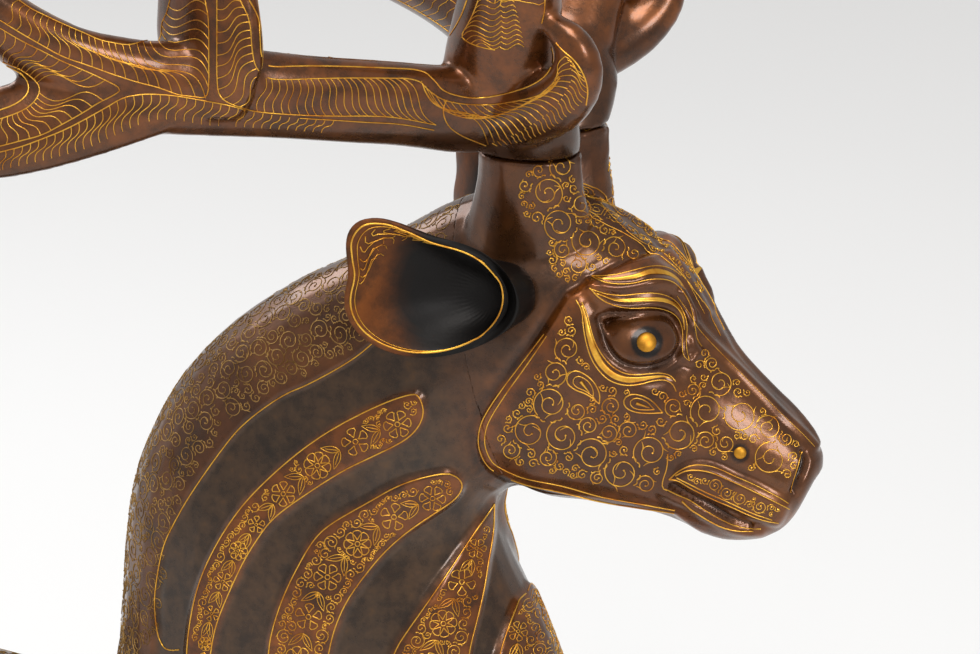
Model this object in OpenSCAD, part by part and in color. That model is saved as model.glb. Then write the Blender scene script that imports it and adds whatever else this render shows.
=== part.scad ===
// A standing stag in patinated bronze with gold inlay, on a low bronze base.
// The shells are cast in sections over a core, then joined: torso, neck and
// head over inner sleeves, legs on tenons, antlers on turned pegs.
// +X is the way the stag faces, +Z is up, and the X-Z plane is its mirror plane.

/* [Base] */
// Length of the base plate along X
base_length = 330; // [300:1:400]
// Width of the base plate along Y
base_width = 124; // [110:1:180]
// Thickness of the bronze base plate
plate_thickness = 16; // [14:1:24]
// Thickness of the felt under the plate
felt_thickness = 2; // [1:0.5:4]
// Radius of the plate's corners in plan
base_corner = 26; // [10:1:40]
// Bevel around the plate's top edge
base_bevel = 4; // [2:0.5:6]

/* [Figure] */
// Wall of the cast shells
wall = 4; // [3:0.5:6]
// Height from the plate's top to the seams at the top of the legs
leg_height = 187; // [150:0.1:230]
// Half of the distance between left and right legs
stance = 35; // [33:0.5:38]
// Radial gap between a sleeve and the shells around it
sleeve_gap = 0.3; // [0.2:0.1:1]
// Wall of the inner sleeves
sleeve_wall = 2.5; // [2:0.5:4]

/* [Leg joints] */
// Radius of the tenon on top of each leg
tenon_r = 7; // [5:0.1:8.5]
// Length of the leg tenon
tenon_length = 16; // [12:1:18]
// Radial gap between a tenon and its socket
tenon_gap = 0.05; // [0.02:0.01:0.2]
// Radius of the pin across each leg tenon
leg_pin_r = 2; // [1:0.25:2.5]

/* [Hoof fasteners] */
// Radius of the stud in each hoof
stud_r = 2.5; // [2:0.5:3.5]
// Depth of the stud in the hoof
stud_depth = 12; // [8:1:14]
// Radial gap around the stud where it passes the plate
stud_gap = 0.3; // [0.1:0.1:1]
// Radial gap between a stud and its nut or washer
thread_gap = 0.05; // [0.02:0.01:0.1]
// Radius of the washer
washer_r = 5; // [4.5:0.5:6]
// Thickness of the washer
washer_thickness = 1; // [0.5:0.5:2]
// Width of the nut across its corners
nut_corners = 9; // [8:0.5:11]
// Height of the nut
nut_height = 4; // [3:0.5:5]
// Radial room around the washer in its counterbore
counterbore_gap = 1; // [0.5:0.5:2]

/* [Antler joints] */
// Radius of the turned peg that holds each antler
peg_r = 6; // [4:0.5:7]
// Length of the peg inside the head
peg_in_head = 14; // [10:1:18]
// Length of the peg inside the antler
peg_in_antler = 16; // [10:1:20]
// Radial gap between peg and antler socket
peg_gap = 0.05; // [0.02:0.01:0.1]
// Gap between the antler's foot and the top of its pedicle
antler_seat_gap = 0.3; // [0.1:0.1:0.6]

/* [Ears] */
// Radius of the root that seats each ear in the head
ear_root_r = 7; // [5:0.5:8]
// Wall of the ear trumpet at its lip
ear_lip = 2.5; // [2:0.25:3.5]

/* [Seam pins] */
// Radius of the pins through the shells into the sleeves
seam_pin_r = 1.5; // [1:0.25:2]

/* [Gold studs] */
// Radius of each gold pupil
pupil_r = 3.7; // [3:0.1:4.5]
// Radius of each gold stud on the muzzle
muzzle_stud_r = 2.2; // [1.5:0.1:3]
// Length of a gold stud's shank
stud_shank = 2.6; // [2:0.1:3]

/* [Hidden] */

bronze = [0.29, 0.21, 0.16];
dark_bronze = [0.22, 0.18, 0.16];
gold = [0.80, 0.58, 0.20];
felt = [0.10, 0.16, 0.12];
steel = [0.60, 0.60, 0.62];

right = -1;
left = 1;
sides = 20;
limb_sides = 14;
round_fn = 48;

plate_top = felt_thickness + plate_thickness;
leg_seam = plate_top + leg_height;
lift = leg_seam - 205;

// ---- lofts -------------------------------------------------------------
// A section is a ring of points; a skin joins sections of equal length.

function unit(v) = v / norm(v);

// Ring through a dorsal point d and a ventral point v, in X-Z, with half-width w.
// full makes the flanks squarer; low moves the widest level down towards v.
function body_ring(d, v, w, full = 1, low = 0, inset = 0) =
    let (
        n = sides,
        axis = unit([d[0] - v[0], 0, d[1] - v[1]]),
        half = norm([d[0] - v[0], d[1] - v[1]]) / 2 - inset,
        mid = [(d[0] + v[0]) / 2, 0, (d[1] + v[1]) / 2]
    )
    [for (i = [0 : n - 1])
        let (a = 360 * i / n, c = cos(a), s = sin(a), h = c - low * s * s)
        mid + axis * half * h
            + [0, (w - inset) * sign(s) * pow(abs(s), 1 / full), 0]];

// Elliptical ring at c, spanned by half-axes p and q.
function oval(c, p, q, n = limb_sides) =
    [for (i = [0 : n - 1]) let (a = 360 * i / n) c + p * cos(a) + q * sin(a)];

function reversed(list) = [for (i = [len(list) - 1 : -1 : 0]) list[i]];
function joined(rings) = [for (r = rings, p = r) p];
function middle(ring) = [for (k = [0 : 2]) [for (p = ring) p[k]] * [for (p = ring) 1] / len(ring)];

// Closed solid through rings, with a fan over the first and the last one.
module skin(rings) {
    n = len(rings[0]);
    m = len(rings);
    first = n * m;
    last = first + 1;
    points = concat(joined(rings), [middle(rings[0]), middle(rings[m - 1])]);
    faces = concat(
        [for (i = [0 : m - 2], j = [0 : n - 1]) let (k = (j + 1) % n)
            [i * n + j, i * n + k, (i + 1) * n + k]],
        [for (i = [0 : m - 2], j = [0 : n - 1]) let (k = (j + 1) % n)
            [i * n + j, (i + 1) * n + k, (i + 1) * n + j]],
        [for (j = [0 : n - 1]) [first, (j + 1) % n, j]],
        [for (j = [0 : n - 1]) [last, (m - 1) * n + j, (m - 1) * n + (j + 1) % n]]
    );
    polyhedron(points, faces);
}

// Closed tube whose wall is skinned by a loop of rings.
module looped_skin(rings) {
    n = len(rings[0]);
    m = len(rings);
    faces = concat(
        [for (i = [0 : m - 1], j = [0 : n - 1]) let (k = (j + 1) % n, o = (i + 1) % m)
            [i * n + j, i * n + k, o * n + k]],
        [for (i = [0 : m - 1], j = [0 : n - 1]) let (k = (j + 1) % n, o = (i + 1) % m)
            [i * n + j, o * n + k, o * n + j]]
    );
    polyhedron(joined(rings), faces);
}

// Branch along path points; each point has half-height h and half-thickness t.
// across is the direction that the thickness lies along, before it is squared up.
function branch_rings(path, across) =
    [for (i = [0 : len(path) - 1])
        let (
            here = path[i],
            before = path[max(i - 1, 0)],
            after = path[min(i + 1, len(path) - 1)],
            along = unit([for (k = [0 : 2]) after[k] - before[k]]),
            side = unit(across - along * (across * along)),
            up = cross(along, side)
        )
        oval([here[0], here[1], here[2]], up * here[3], side * here[4])];

// ---- body lines ---------------------------------------------------------
// Each row: dorsal [x, z], ventral [x, z], half-width, fullness, low.
torso_rows = [
    [[-153, 290], [-152, 274], 6, 1, 0],
    [[-149, 305], [-147, 250], 27, 1, 0],
    [[-137, 313], [-132, 230], 40, 1.1, 0],
    [[-112, 318], [-108, 217], 47, 1.15, 0],
    [[-78, 318], [-72, 209], 49, 1.15, 0.05],
    [[-50, 315], [-32, 200], 51, 1.15, 0.1],
    [[-32, 314], [14, 197], 53, 1.15, 0.1],
    [[-22, 315], [62, 198], 53, 1.15, 0.1],
    [[-16, 319], [104, 208], 52, 1.1, 0.05],
    [[-12, 326], [140, 228], 50, 1.05, 0],
    [[-9, 336], [158, 260], 48, 1, 0]
];
neck_rows = [
    [[-9, 336], [158, 260], 48, 1, 0],
    [[-6, 354], [161, 294], 46, 1, 0],
    [[-4, 376], [158, 326], 44, 1, 0],
    [[0, 400], [150, 350], 42, 1, 0],
    [[8, 421], [142, 368], 40, 1, 0],
    [[20, 441], [135, 382], 38, 1, 0],
    [[38, 460], [131, 393], 36.5, 1, 0],
    [[60, 476], [130, 401], 35, 1, 0],
    [[82, 488], [131, 406], 33.5, 1, 0],
    [[102, 501], [134, 410], 32, 1, 0],
    [[118, 511], [140, 413], 31, 1, 0]
];
head_rows = [
    [[118, 511], [140, 413], 31, 1, 0],
    [[133, 517], [150, 411], 32, 1.05, 0],
    [[149, 518], [160, 411], 32, 1.05, 0],
    [[167, 511.5], [171, 411], 31, 1.05, 0],
    [[184, 500.5], [182, 410], 28, 1.05, 0],
    [[197, 485.5], [191, 408], 23.5, 1, 0.05],
    [[208, 468], [199, 405], 19, 1, 0.05],
    [[220, 456], [208, 403], 16.5, 1, 0.05],
    [[229, 448], [217, 404], 14.5, 1, 0],
    [[235, 441], [226, 408], 12, 1, 0],
    [[238, 435], [232, 416], 8, 1, 0],
    [[238.5, 430], [235, 424], 2.5, 1, 0]
];

// Raise or lower a body row with the leg height.
function raised(p) = [p[0], p[1] + lift];
function row_ring(row, inset = 0) =
    body_ring(raised(row[0]), raised(row[1]), row[2], row[3], row[4], inset);
function rings_of(rows, inset = 0) = [for (row = rows) row_ring(row, inset)];
function slice(list, from, to) = [for (i = [from : to]) list[i]];

// Row part-way between two rows, for sleeves that straddle a seam.
function between(a, b, t) = [for (k = [0 : 4]) a[k] * (1 - t) + b[k] * t];

// ---- legs -----------------------------------------------------------------
// Rows from the seam down: height above the plate, x, half-length, half-width.
front_leg_rows = [
    [187, 92, 20, 13], [168, 92, 15.5, 11], [145, 94, 11.5, 9], [118, 96, 9, 7.8],
    [100, 97.5, 9.6, 8.4], [84, 97, 8, 7.2], [60, 97, 6.4, 6], [32, 98, 6.2, 5.8],
    [23, 99.5, 8, 7.2], [15, 102, 6.8, 6.8], [10, 104, 8.6, 7.8], [0, 107, 12, 9.2]
];
hind_leg_rows = [
    [187, -101, 23, 14], [168, -105, 17, 11.5], [148, -113, 12.5, 9.4], [128, -121, 10, 8.2],
    [112, -126, 9.6, 8], [98, -124, 8.2, 7.2], [72, -119, 6.6, 6.1], [34, -112, 6.3, 5.9],
    [23, -110, 8, 7.2], [15, -107.5, 6.8, 6.8], [10, -105.5, 8.6, 7.8], [0, -102, 12, 9.2]
];
front_top = front_leg_rows[0];
hind_top = hind_leg_rows[0];
front_foot = front_leg_rows[len(front_leg_rows) - 1];
hind_foot = hind_leg_rows[len(hind_leg_rows) - 1];
leg_stretch = leg_height / front_top[0];

function leg_rings(rows, side) =
    [for (r = rows)
        oval([r[1], side * stance, plate_top + r[0] * leg_stretch], [r[2], 0, 0], [0, r[3], 0])];

// Upper legs that belong to the torso casting: height above the seam, x, y, a, b.
shoulder_rows = [[58, 82, 26, 28, 18], [34, 88, 32, 30, 16], [14, 91, 35, 25, 14], [0, 92, 35, 20, 13]];
thigh_rows = [[66, -104, 26, 30, 18], [40, -98, 32, 34, 16], [16, -97, 35, 29, 15], [0, -101, 35, 23, 14]];

function lump_rings(rows, side) =
    [for (r = rows)
        let (y = r[2] + (stance - 35))
        oval([r[1], side * y, leg_seam + r[0]], [r[3], 0, 0], [0, r[4], 0])];

module at_leg_tops() {
    for (side = [right, left], x = [front_top[1], hind_top[1]])
        translate([x, side * stance, leg_seam]) children();
}

module at_feet() {
    for (side = [right, left], x = [front_foot[1], hind_foot[1]])
        translate([x, side * stance, plate_top]) children();
}

// ---- base -------------------------------------------------------------------
module rounded_plate(inset, z, h) {
    r = base_corner - inset;
    lx = base_length / 2 - base_corner;
    ly = base_width / 2 - base_corner;
    translate([0, 0, z]) linear_extrude(h) union() {
        square([2 * lx, base_width - 2 * inset], center = true);
        square([base_length - 2 * inset, 2 * ly], center = true);
        for (sx = [-1, 1], sy = [-1, 1]) translate([sx * lx, sy * ly]) circle(r, $fn = round_fn);
    }
}

counterbore_depth = washer_thickness + nut_height + 2;

module base_plate() {
    color(dark_bronze) difference() {
        union() {
            rounded_plate(0, felt_thickness, plate_thickness - base_bevel);
            rounded_plate(base_bevel / 2, felt_thickness, plate_thickness - base_bevel / 2);
            rounded_plate(base_bevel, felt_thickness, plate_thickness);
        }
        at_feet() {
            translate([0, 0, -plate_thickness - 1])
                cylinder(r = stud_r + stud_gap, h = plate_thickness + 2, $fn = round_fn);
            translate([0, 0, -plate_thickness - 1])
                cylinder(r = washer_r + counterbore_gap, h = counterbore_depth + 1, $fn = round_fn);
        }
    }
}

felt_inset = 3;

module base_felt() {
    color(felt) rounded_plate(felt_inset, 0, felt_thickness);
}

// ---- hoof fasteners -----------------------------------------------------------
stud_tail = nut_height + washer_thickness + 0.5;
stud_below = plate_thickness - counterbore_depth + stud_tail;

module hoof_studs() {
    color(steel) at_feet()
        translate([0, 0, -stud_below]) cylinder(r = stud_r, h = stud_below + stud_depth, $fn = round_fn);
}

module ring_bar(outer, inner, h, corners = round_fn) {
    difference() {
        cylinder(r = outer, h = h, $fn = corners);
        translate([0, 0, -1]) cylinder(r = inner, h = h + 2, $fn = round_fn);
    }
}

module hoof_washers() {
    color(steel) at_feet() translate([0, 0, counterbore_depth - plate_thickness - washer_thickness])
        ring_bar(washer_r, stud_r + thread_gap, washer_thickness);
}

module hoof_nuts() {
    color(steel) at_feet()
        translate([0, 0, counterbore_depth - plate_thickness - washer_thickness - nut_height])
            ring_bar(nut_corners / 2, stud_r + thread_gap, nut_height, 6);
}

// ---- legs ----------------------------------------------------------------------
pin_height = tenon_length / 2;

module leg(rows, side) {
    top = rows[0];
    foot = rows[len(rows) - 1];
    color(bronze) difference() {
        union() {
            skin(leg_rings(rows, side));
            translate([top[1], side * stance, leg_seam - 2])
                cylinder(r = tenon_r, h = tenon_length + 2, $fn = round_fn);
        }
        translate([top[1], side * stance, leg_seam + pin_height]) rotate([0, 90, 0])
            cylinder(r = leg_pin_r, h = 4 * tenon_r, center = true, $fn = round_fn);
        translate([foot[1], side * stance, plate_top - 1])
            cylinder(r = stud_r, h = stud_depth + 1, $fn = round_fn);
    }
}

module front_leg_right() { leg(front_leg_rows, right); }
module front_leg_left() { leg(front_leg_rows, left); }
module hind_leg_right() { leg(hind_leg_rows, right); }
module hind_leg_left() { leg(hind_leg_rows, left); }

leg_pin_length = 2 * tenon_r + 8;

module leg_pins() {
    color(steel) at_leg_tops() translate([0, 0, pin_height]) rotate([0, 90, 0])
        cylinder(r = leg_pin_r, h = leg_pin_length, center = true, $fn = round_fn);
}

// ---- torso ---------------------------------------------------------------------
module torso_shell() {
    outer = rings_of(torso_rows);
    inner = rings_of(slice(torso_rows, 1, len(torso_rows) - 1), wall);
    color(bronze) difference() {
        union() {
            skin(concat(outer, reversed(inner)));
            for (side = [right, left]) {
                skin(lump_rings(shoulder_rows, side));
                skin(lump_rings(thigh_rows, side));
            }
        }
        at_leg_tops() {
            translate([0, 0, -1]) cylinder(r = tenon_r + tenon_gap, h = tenon_length + 2, $fn = round_fn);
            translate([0, 0, pin_height]) rotate([0, 90, 0])
                cylinder(r = leg_pin_r, h = leg_pin_length, center = true, $fn = round_fn);
        }
        seam_pin_bores();
    }
}

// ---- sleeves and their pins -------------------------------------------------------
last_torso = len(torso_rows) - 1;
last_neck = len(neck_rows) - 1;
chest_sleeve_rows = [
    between(torso_rows[last_torso - 1], torso_rows[last_torso], 0.5),
    neck_rows[0],
    between(neck_rows[0], neck_rows[1], 0.5)
];
nape_sleeve_rows = [
    between(neck_rows[last_neck - 1], neck_rows[last_neck], 0.4),
    head_rows[0],
    between(head_rows[0], head_rows[1], 0.5)
];
pin_rows = [for (rows = [chest_sleeve_rows, nape_sleeve_rows], i = [0, 2]) between(rows[i], rows[1], 0.5)];

module sleeve(rows) {
    color(dark_bronze) difference() {
        looped_skin(concat(
            rings_of(rows, wall + sleeve_gap),
            reversed(rings_of(rows, wall + sleeve_gap + sleeve_wall))
        ));
        seam_pin_bores();
    }
}

module seam_pin_bores() {
    for (row = pin_rows) {
        at = (raised(row[0]) + raised(row[1])) / 2;
        translate([at[0], 0, at[1]]) rotate([90, 0, 0])
            cylinder(r = seam_pin_r, h = 4 * row[2], center = true, $fn = round_fn);
    }
}

seam_pin_sink = 1;

module seam_pins() {
    color(dark_bronze) for (row = pin_rows, side = [right, left]) {
        at = (raised(row[0]) + raised(row[1])) / 2;
        inner = row[2] - wall - sleeve_gap - sleeve_wall;
        depth = wall + sleeve_gap + sleeve_wall - seam_pin_sink;
        translate([at[0], side * (inner + depth / 2), at[1]]) rotate([90, 0, 0])
            cylinder(r = seam_pin_r, h = depth, center = true, $fn = round_fn);
    }
}

module neck_sleeve() { sleeve(chest_sleeve_rows); }

// The nape sleeve is notched where the pedicles' roots come through the skull.
module head_sleeve() {
    color(dark_bronze) difference() {
        sleeve(nape_sleeve_rows);
        both_sides() skin(pedicle_rings(pedicle_notch));
    }
}

module neck_shell() {
    color(bronze) difference() {
        looped_skin(concat(rings_of(neck_rows), reversed(rings_of(neck_rows, wall))));
        seam_pin_bores();
    }
}

// ---- head ------------------------------------------------------------------------
// Pedicles under the antlers, top down: z, x, y, half-length, half-width.
pedicle_rows = [
    [534, 145, 17, 16.5, 12.5], [525, 145, 16.5, 17, 12], [512, 144.5, 14, 20, 12.5], [496, 143, 11, 24, 13]
];
pedicle = pedicle_rows[0];
pedicle_top = pedicle[0] + lift;
peg_x = 144;
peg_y = 19;
eye_at = [184, 20, 474];
eye_ball_r = 9;
brow_at = [184, 13, 489];
brow_r = 9;
eye_turn = [0, 75, 69];
muzzle_at = [215, 15.4, 438];
muzzle_turn = [0, 82, 68];

pedicle_notch = 0.3;

function pedicle_rings(room = 0) =
    [for (i = [0 : len(pedicle_rows) - 1])
        let (r = pedicle_rows[i], drop = i == len(pedicle_rows) - 1 ? room : 0)
        oval([r[1], r[2], r[0] + lift - drop], [r[3] + room, 0, 0], [0, r[4] + room, 0])];

// Places children on the left side and, mirrored, on the right.
module both_sides() {
    children();
    mirror([0, 1, 0]) children();
}

module on_eye() {
    translate([eye_at[0], eye_at[1], eye_at[2] + lift]) rotate(eye_turn) children();
}

module on_muzzle() {
    translate([muzzle_at[0], muzzle_at[1], muzzle_at[2] + lift]) rotate(muzzle_turn) children();
}

module head_shell() {
    outer = rings_of(head_rows);
    inner = rings_of(slice(head_rows, 0, len(head_rows) - 2), wall);
    color(bronze) difference() {
        union() {
            skin(concat(reversed(inner), outer));
            both_sides() {
                skin(pedicle_rings());
                translate([eye_at[0], eye_at[1], eye_at[2] + lift]) sphere(r = eye_ball_r, $fn = round_fn);
                translate([brow_at[0], brow_at[1], brow_at[2] + lift]) sphere(r = brow_r, $fn = round_fn);
            }
        }
        both_sides() {
            translate([peg_x, peg_y, pedicle_top - peg_in_head])
                cylinder(r = peg_r, h = peg_in_head + 1, $fn = round_fn);
            on_eye() translate([0, 0, eye_ball_r - stud_shank])
                cylinder(r = pupil_r, h = stud_shank + 4, $fn = round_fn);
            on_muzzle() translate([0, 0, -stud_shank])
                cylinder(r = muzzle_stud_r, h = stud_shank + 4, $fn = round_fn);
            ear_root(ear_root_r);
        }
        seam_pin_bores();
    }
}

// Gold stud: a shank with a domed head, its shank's foot at the origin.
module gold_stud(r) {
    color(gold) {
        cylinder(r = r, h = stud_shank, $fn = round_fn);
        translate([0, 0, stud_shank]) intersection() {
            translate([0, 0, -1.2 * r]) sphere(r = sqrt(1 + 1.44) * r, $fn = round_fn);
            cylinder(r = r, h = r, $fn = round_fn);
        }
    }
}

module pupil_left() { on_eye() translate([0, 0, eye_ball_r - stud_shank]) gold_stud(pupil_r); }
module pupil_right() { mirror([0, 1, 0]) pupil_left(); }
module muzzle_studs() { both_sides() on_muzzle() translate([0, 0, -stud_shank]) gold_stud(muzzle_stud_r); }

// ---- ears ------------------------------------------------------------------------
// Rows from root to lip: centre, heading of the long axis, half-length, half-height, tip.
ear_rows = [
    [[147, 23, 490], 46, 8.5, 8.5, 0],
    [[139, 31, 490], 30, 12, 11, 0],
    [[130, 39, 491], 8, 18.5, 15.5, 0.1],
    [[123, 45, 492], -14, 25, 19.4, 0.35],
    [[119.5, 47.5, 492], -23, 26.5, 20.4, 0.64]
];
ear_hollow_rows = [
    [[120, 48, 492], -23, 26.5 - ear_lip, 20.4 - ear_lip, 0.66],
    [[124, 44.5, 492], -14, 22, 16.4, 0.35],
    [[131, 39, 491], 6, 14, 11.5, 0.1],
    [[138, 33.5, 490.5], 26, 6, 6, 0]
];
ear_sides = 24;
ear_tip_at = 120;

function ear_ring(row) =
    let (
        h = [cos(row[1]), sin(row[1]), 0],
        c = [row[0][0], row[0][1], row[0][2] + lift]
    )
    [for (i = [0 : ear_sides - 1])
        let (
            a = 360 * i / ear_sides,
            beak = 1 + row[4] * pow(max(0, cos(a - ear_tip_at)), 14)
        )
        c + beak * (h * row[2] * cos(a) + [0, 0, row[3] * sin(a)])];

ear_root_from = [151, 19, 490];
ear_root_to = [137, 33, 490];

module ear_root(r) {
    way = ear_root_to - ear_root_from;
    translate([ear_root_from[0], ear_root_from[1], ear_root_from[2] + lift])
        rotate([0, 90, atan2(way[1], way[0])]) cylinder(r = r, h = norm(way), $fn = round_fn);
}

module ear_left() {
    rings = [for (row = concat(ear_rows, ear_hollow_rows)) ear_ring(row)];
    color(bronze) union() {
        difference() {
            skin(rings);
            skin(rings_of(head_rows));
        }
        intersection() {
            ear_root(ear_root_r - tenon_gap);
            skin(rings_of(head_rows));
        }
    }
}

module ear_right() { mirror([0, 1, 0]) ear_left(); }

// ---- antlers -----------------------------------------------------------------------
// The palm is a curved sheet: it leaves the pedicle outwards and bends back in plan.
palm_from = [138, 24];
palm_heading = 52;
palm_radius = 273;
antler_foot = pedicle_top + antler_seat_gap;

function palm(s, z) =
    let (a = palm_heading - s / palm_radius * 180 / PI)
    [
        palm_from[0] - palm_radius * (sin(palm_heading) - sin(a)),
        palm_from[1] + palm_radius * (cos(a) - cos(palm_heading)),
        z
    ];

// Rows: distance along the palm, z, half-height, half-thickness.
beam_rows = [[-4, 550, 15, 11], [16, 552, 16.5, 10.5], [40, 557, 15.2, 9.5], [68, 562, 14.4, 9],
    [92, 566, 15, 8.5], [116, 569, 15, 8], [136, 570, 13, 7.5]];
up_tine_rows = [[97, 560, 12, 7], [97, 577, 22, 8], [97, 596, 21, 7.5], [98, 615, 17, 7],
    [102, 634, 13, 6], [109, 651, 9, 5], [119, 662, 4.5, 3.5], [129, 668, 1.2, 1.2]];
back_tine_rows = [[112, 570, 13, 7.5], [134, 575, 14, 7.5], [154, 587, 12.5, 7], [171, 602, 11, 6.5],
    [185, 619, 9, 5.5], [194, 637, 6, 4.5], [198, 655, 1.2, 1.2]];
low_tine_rows = [[112, 567, 12, 7.5], [134, 563, 14.5, 7.5], [156, 557, 14, 7], [176, 553, 12, 6.5],
    [196, 553, 10, 6], [214, 560, 8, 5], [227, 573, 5, 4], [235, 589, 1.2, 1.2]];
// Rows: x, y, z, half-height, half-thickness.
trunk_rows = [[139, 27, 548, 20, 12], [141, 34, 564, 19, 11.5], [146, 44, 584, 17, 10.5],
    [152, 56, 607, 14.5, 9], [155, 66, 630, 11.5, 7.5], [151, 73, 649, 8, 6],
    [141, 76, 664, 4.5, 4], [130, 76, 670, 1.2, 1.2]];
brow_rows = [[136, 27, 549, 12, 10], [149, 37, 553, 11.5, 9], [162, 47, 560, 10.5, 7.5],
    [170, 52, 570, 8.5, 6], [169, 53, 580, 6.5, 5], [161, 52, 586, 3.5, 3.5], [152, 50, 588, 1, 1]];
foot_rows = [[568, 137, 31, 13, 9], [559, 138, 28, 20, 13], [547, 141, 24, 22, 15],
    [534, 145, 17, 16.5, 12.5]];

function palm_path(rows) = [for (r = rows) concat(palm(r[0], r[1] + lift), [r[2], r[3]])];
function free_path(rows) = [for (r = rows) [r[0], r[1], r[2] + lift, r[3], r[4]]];

palm_side = [sin(palm_heading - 25), -cos(palm_heading - 25), 0];

module antler_left() {
    foot = [for (r = foot_rows) oval([r[1], r[2], r[0] + lift], [r[3], 0, 0], [0, r[4], 0])];
    color(bronze) difference() {
        union() {
            skin(foot);
            for (rows = [beam_rows, up_tine_rows, back_tine_rows, low_tine_rows])
                skin(branch_rings(palm_path(rows), palm_side));
            for (rows = [trunk_rows, brow_rows])
                skin(branch_rings(free_path(rows), [0, -1, 0.3]));
        }
        translate([0, 0, pedicle_top - 50 + antler_seat_gap])
            cylinder(r = 300, h = 50, $fn = round_fn);
        translate([peg_x, peg_y, antler_foot - 1])
            cylinder(r = peg_r + peg_gap, h = peg_in_antler + 1, $fn = round_fn);
    }
}

module antler_right() { mirror([0, 1, 0]) antler_left(); }

module antler_peg_left() {
    color(steel) translate([peg_x, peg_y, pedicle_top - peg_in_head])
        cylinder(r = peg_r, h = peg_in_head + peg_in_antler - 1, $fn = round_fn);
}

module antler_peg_right() { mirror([0, 1, 0]) antler_peg_left(); }

base_plate();
base_felt();
hoof_studs();
hoof_washers();
hoof_nuts();
front_leg_right();
front_leg_left();
hind_leg_right();
hind_leg_left();
leg_pins();
torso_shell();
neck_sleeve();
neck_shell();
head_sleeve();
seam_pins();
head_shell();
ear_right();
ear_left();
pupil_right();
pupil_left();
muzzle_studs();
antler_peg_right();
antler_peg_left();
antler_right();
antler_left();
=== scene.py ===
"""Gold-inlaid bronze stag: the visual pieces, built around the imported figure."""
import math
import random

import bmesh
import bpy
import numpy as np
from mathutils import Matrix, Vector
from mathutils.bvhtree import BVHTree


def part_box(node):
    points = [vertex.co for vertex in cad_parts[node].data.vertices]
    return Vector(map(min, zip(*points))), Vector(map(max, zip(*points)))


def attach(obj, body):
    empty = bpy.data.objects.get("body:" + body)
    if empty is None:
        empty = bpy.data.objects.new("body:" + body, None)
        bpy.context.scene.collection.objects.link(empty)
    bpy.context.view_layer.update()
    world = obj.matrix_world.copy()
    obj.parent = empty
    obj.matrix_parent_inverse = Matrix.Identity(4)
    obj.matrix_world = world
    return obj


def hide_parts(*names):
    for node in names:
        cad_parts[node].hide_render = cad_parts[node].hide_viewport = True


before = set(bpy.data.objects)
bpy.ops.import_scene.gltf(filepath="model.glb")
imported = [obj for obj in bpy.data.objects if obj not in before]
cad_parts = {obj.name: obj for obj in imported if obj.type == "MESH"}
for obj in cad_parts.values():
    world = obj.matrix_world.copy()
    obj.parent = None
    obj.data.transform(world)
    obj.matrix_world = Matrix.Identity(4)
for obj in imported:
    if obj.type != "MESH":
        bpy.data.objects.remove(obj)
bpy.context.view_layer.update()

bl_info = {
    "name": "Inlaid Bronze Stag",
    "version": (1, 0, 0),
    "blender": (4, 5, 0),
    "location": "View3D > Sidebar > Stag",
    "description": "Builds a standing stag in patinated bronze with gold inlay",
    "category": "Add Mesh",
}

MM = 0.001
SIDES = (("right", -1), ("left", 1))


# ---- settings ---------------------------------------------------------------
def length(name, note, millimetres):
    """A length setting, given in millimetres and kept in metres."""
    return bpy.props.FloatProperty(name=name, description=note, default=millimetres * MM, unit="LENGTH", precision=5)


class FigureSizes(bpy.types.PropertyGroup):
    """Sizes of the bronze work, in metres."""

    head_grain: length("Head mesh", "Mesh size of the head", 0.78)
    neck_grain: length("Neck mesh", "Mesh size of the neck", 1.0)
    body_grain: length("Body mesh", "Mesh size of torso and legs", 1.6)
    antler_grain: length("Antler mesh", "Mesh size of the antlers", 1.1)
    welt_height: length("Welt height", "How far the neck bands stand above the channels", 1.7)


def linear(text):
    """Linear RGBA from an sRGB hex colour."""
    parts = [int(text[i:i + 2], 16) / 255 for i in (1, 3, 5)]
    return (*[c / 12.92 if c <= 0.04045 else ((c + 0.055) / 1.055) ** 2.4 for c in parts], 1)


def swatch(name, text, note):
    """A colour setting, given as sRGB hex and kept linear."""
    return bpy.props.FloatVectorProperty(
        name=name, description=note, subtype="COLOR", size=4, min=0, max=1, default=linear(text)
    )


class FinishColours(bpy.types.PropertyGroup):
    """Colours of the patina, the gold and the fittings."""

    brown_dark: swatch("Brown, dark", "#2a180b", "Darkest clouds of the brown patina")
    brown_mid: swatch("Brown, middle", "#462812", "Middle of the brown patina")
    brown_light: swatch("Brown, light", "#5e391a", "Where the brown patina is rubbed")
    rust_dark: swatch("Rust, dark", "#4c2a10", "Dark streaks of the red patina")
    rust_light: swatch("Rust, light", "#8a4a18", "Light streaks of the red patina")
    channel_dark: swatch("Channel, dark", "#29211a", "Darkest tone of the sunk channels")
    channel_mid: swatch("Channel, middle", "#423325", "Middle tone of the sunk channels")
    channel_light: swatch("Channel, light", "#533a21", "Where the channels are rubbed")
    # Painted shade: the near-black laid into pressed-in hollows, creases and the ear holes, where shade falls.
    painted_shade: swatch("Recess", "#0b0807", "Dirt and wax in the deepest hollows")
    gold_light: swatch("Gold, light", "#e0ab45", "Burnished inlay")
    gold_dark: swatch("Gold, dark", "#b5742a", "Inlay with a reddish bloom")
    solid_light: swatch("Solid gold, light", "#b9832c", "Pupils and muzzle studs")
    solid_dark: swatch("Solid gold, dark", "#7e501d", "Wear on pupils and studs")
    worn_light: swatch("Worn gold, light", "#a5824c", "Inlay on the back, rubbed thin")
    worn_dark: swatch("Worn gold, dark", "#6b4d28", "Inlay on the back, almost gone")
    steel_light: swatch("Steel, light", "#a9a9a6", "Turned steel pegs and pins")
    steel_dark: swatch("Steel, dark", "#83827f", "Tool marks in the steel")
    raw_light: swatch("Raw bronze, light", "#9a7440", "Sleeves inside the castings")
    raw_dark: swatch("Raw bronze, dark", "#6d4e2a", "Casting skin inside")
    felt_dark: swatch("Felt, dark", "#1f2a20", "Shade between the wool fibres")
    felt_light: swatch("Felt, light", "#36483a", "Wool fibres under the base")


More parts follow.
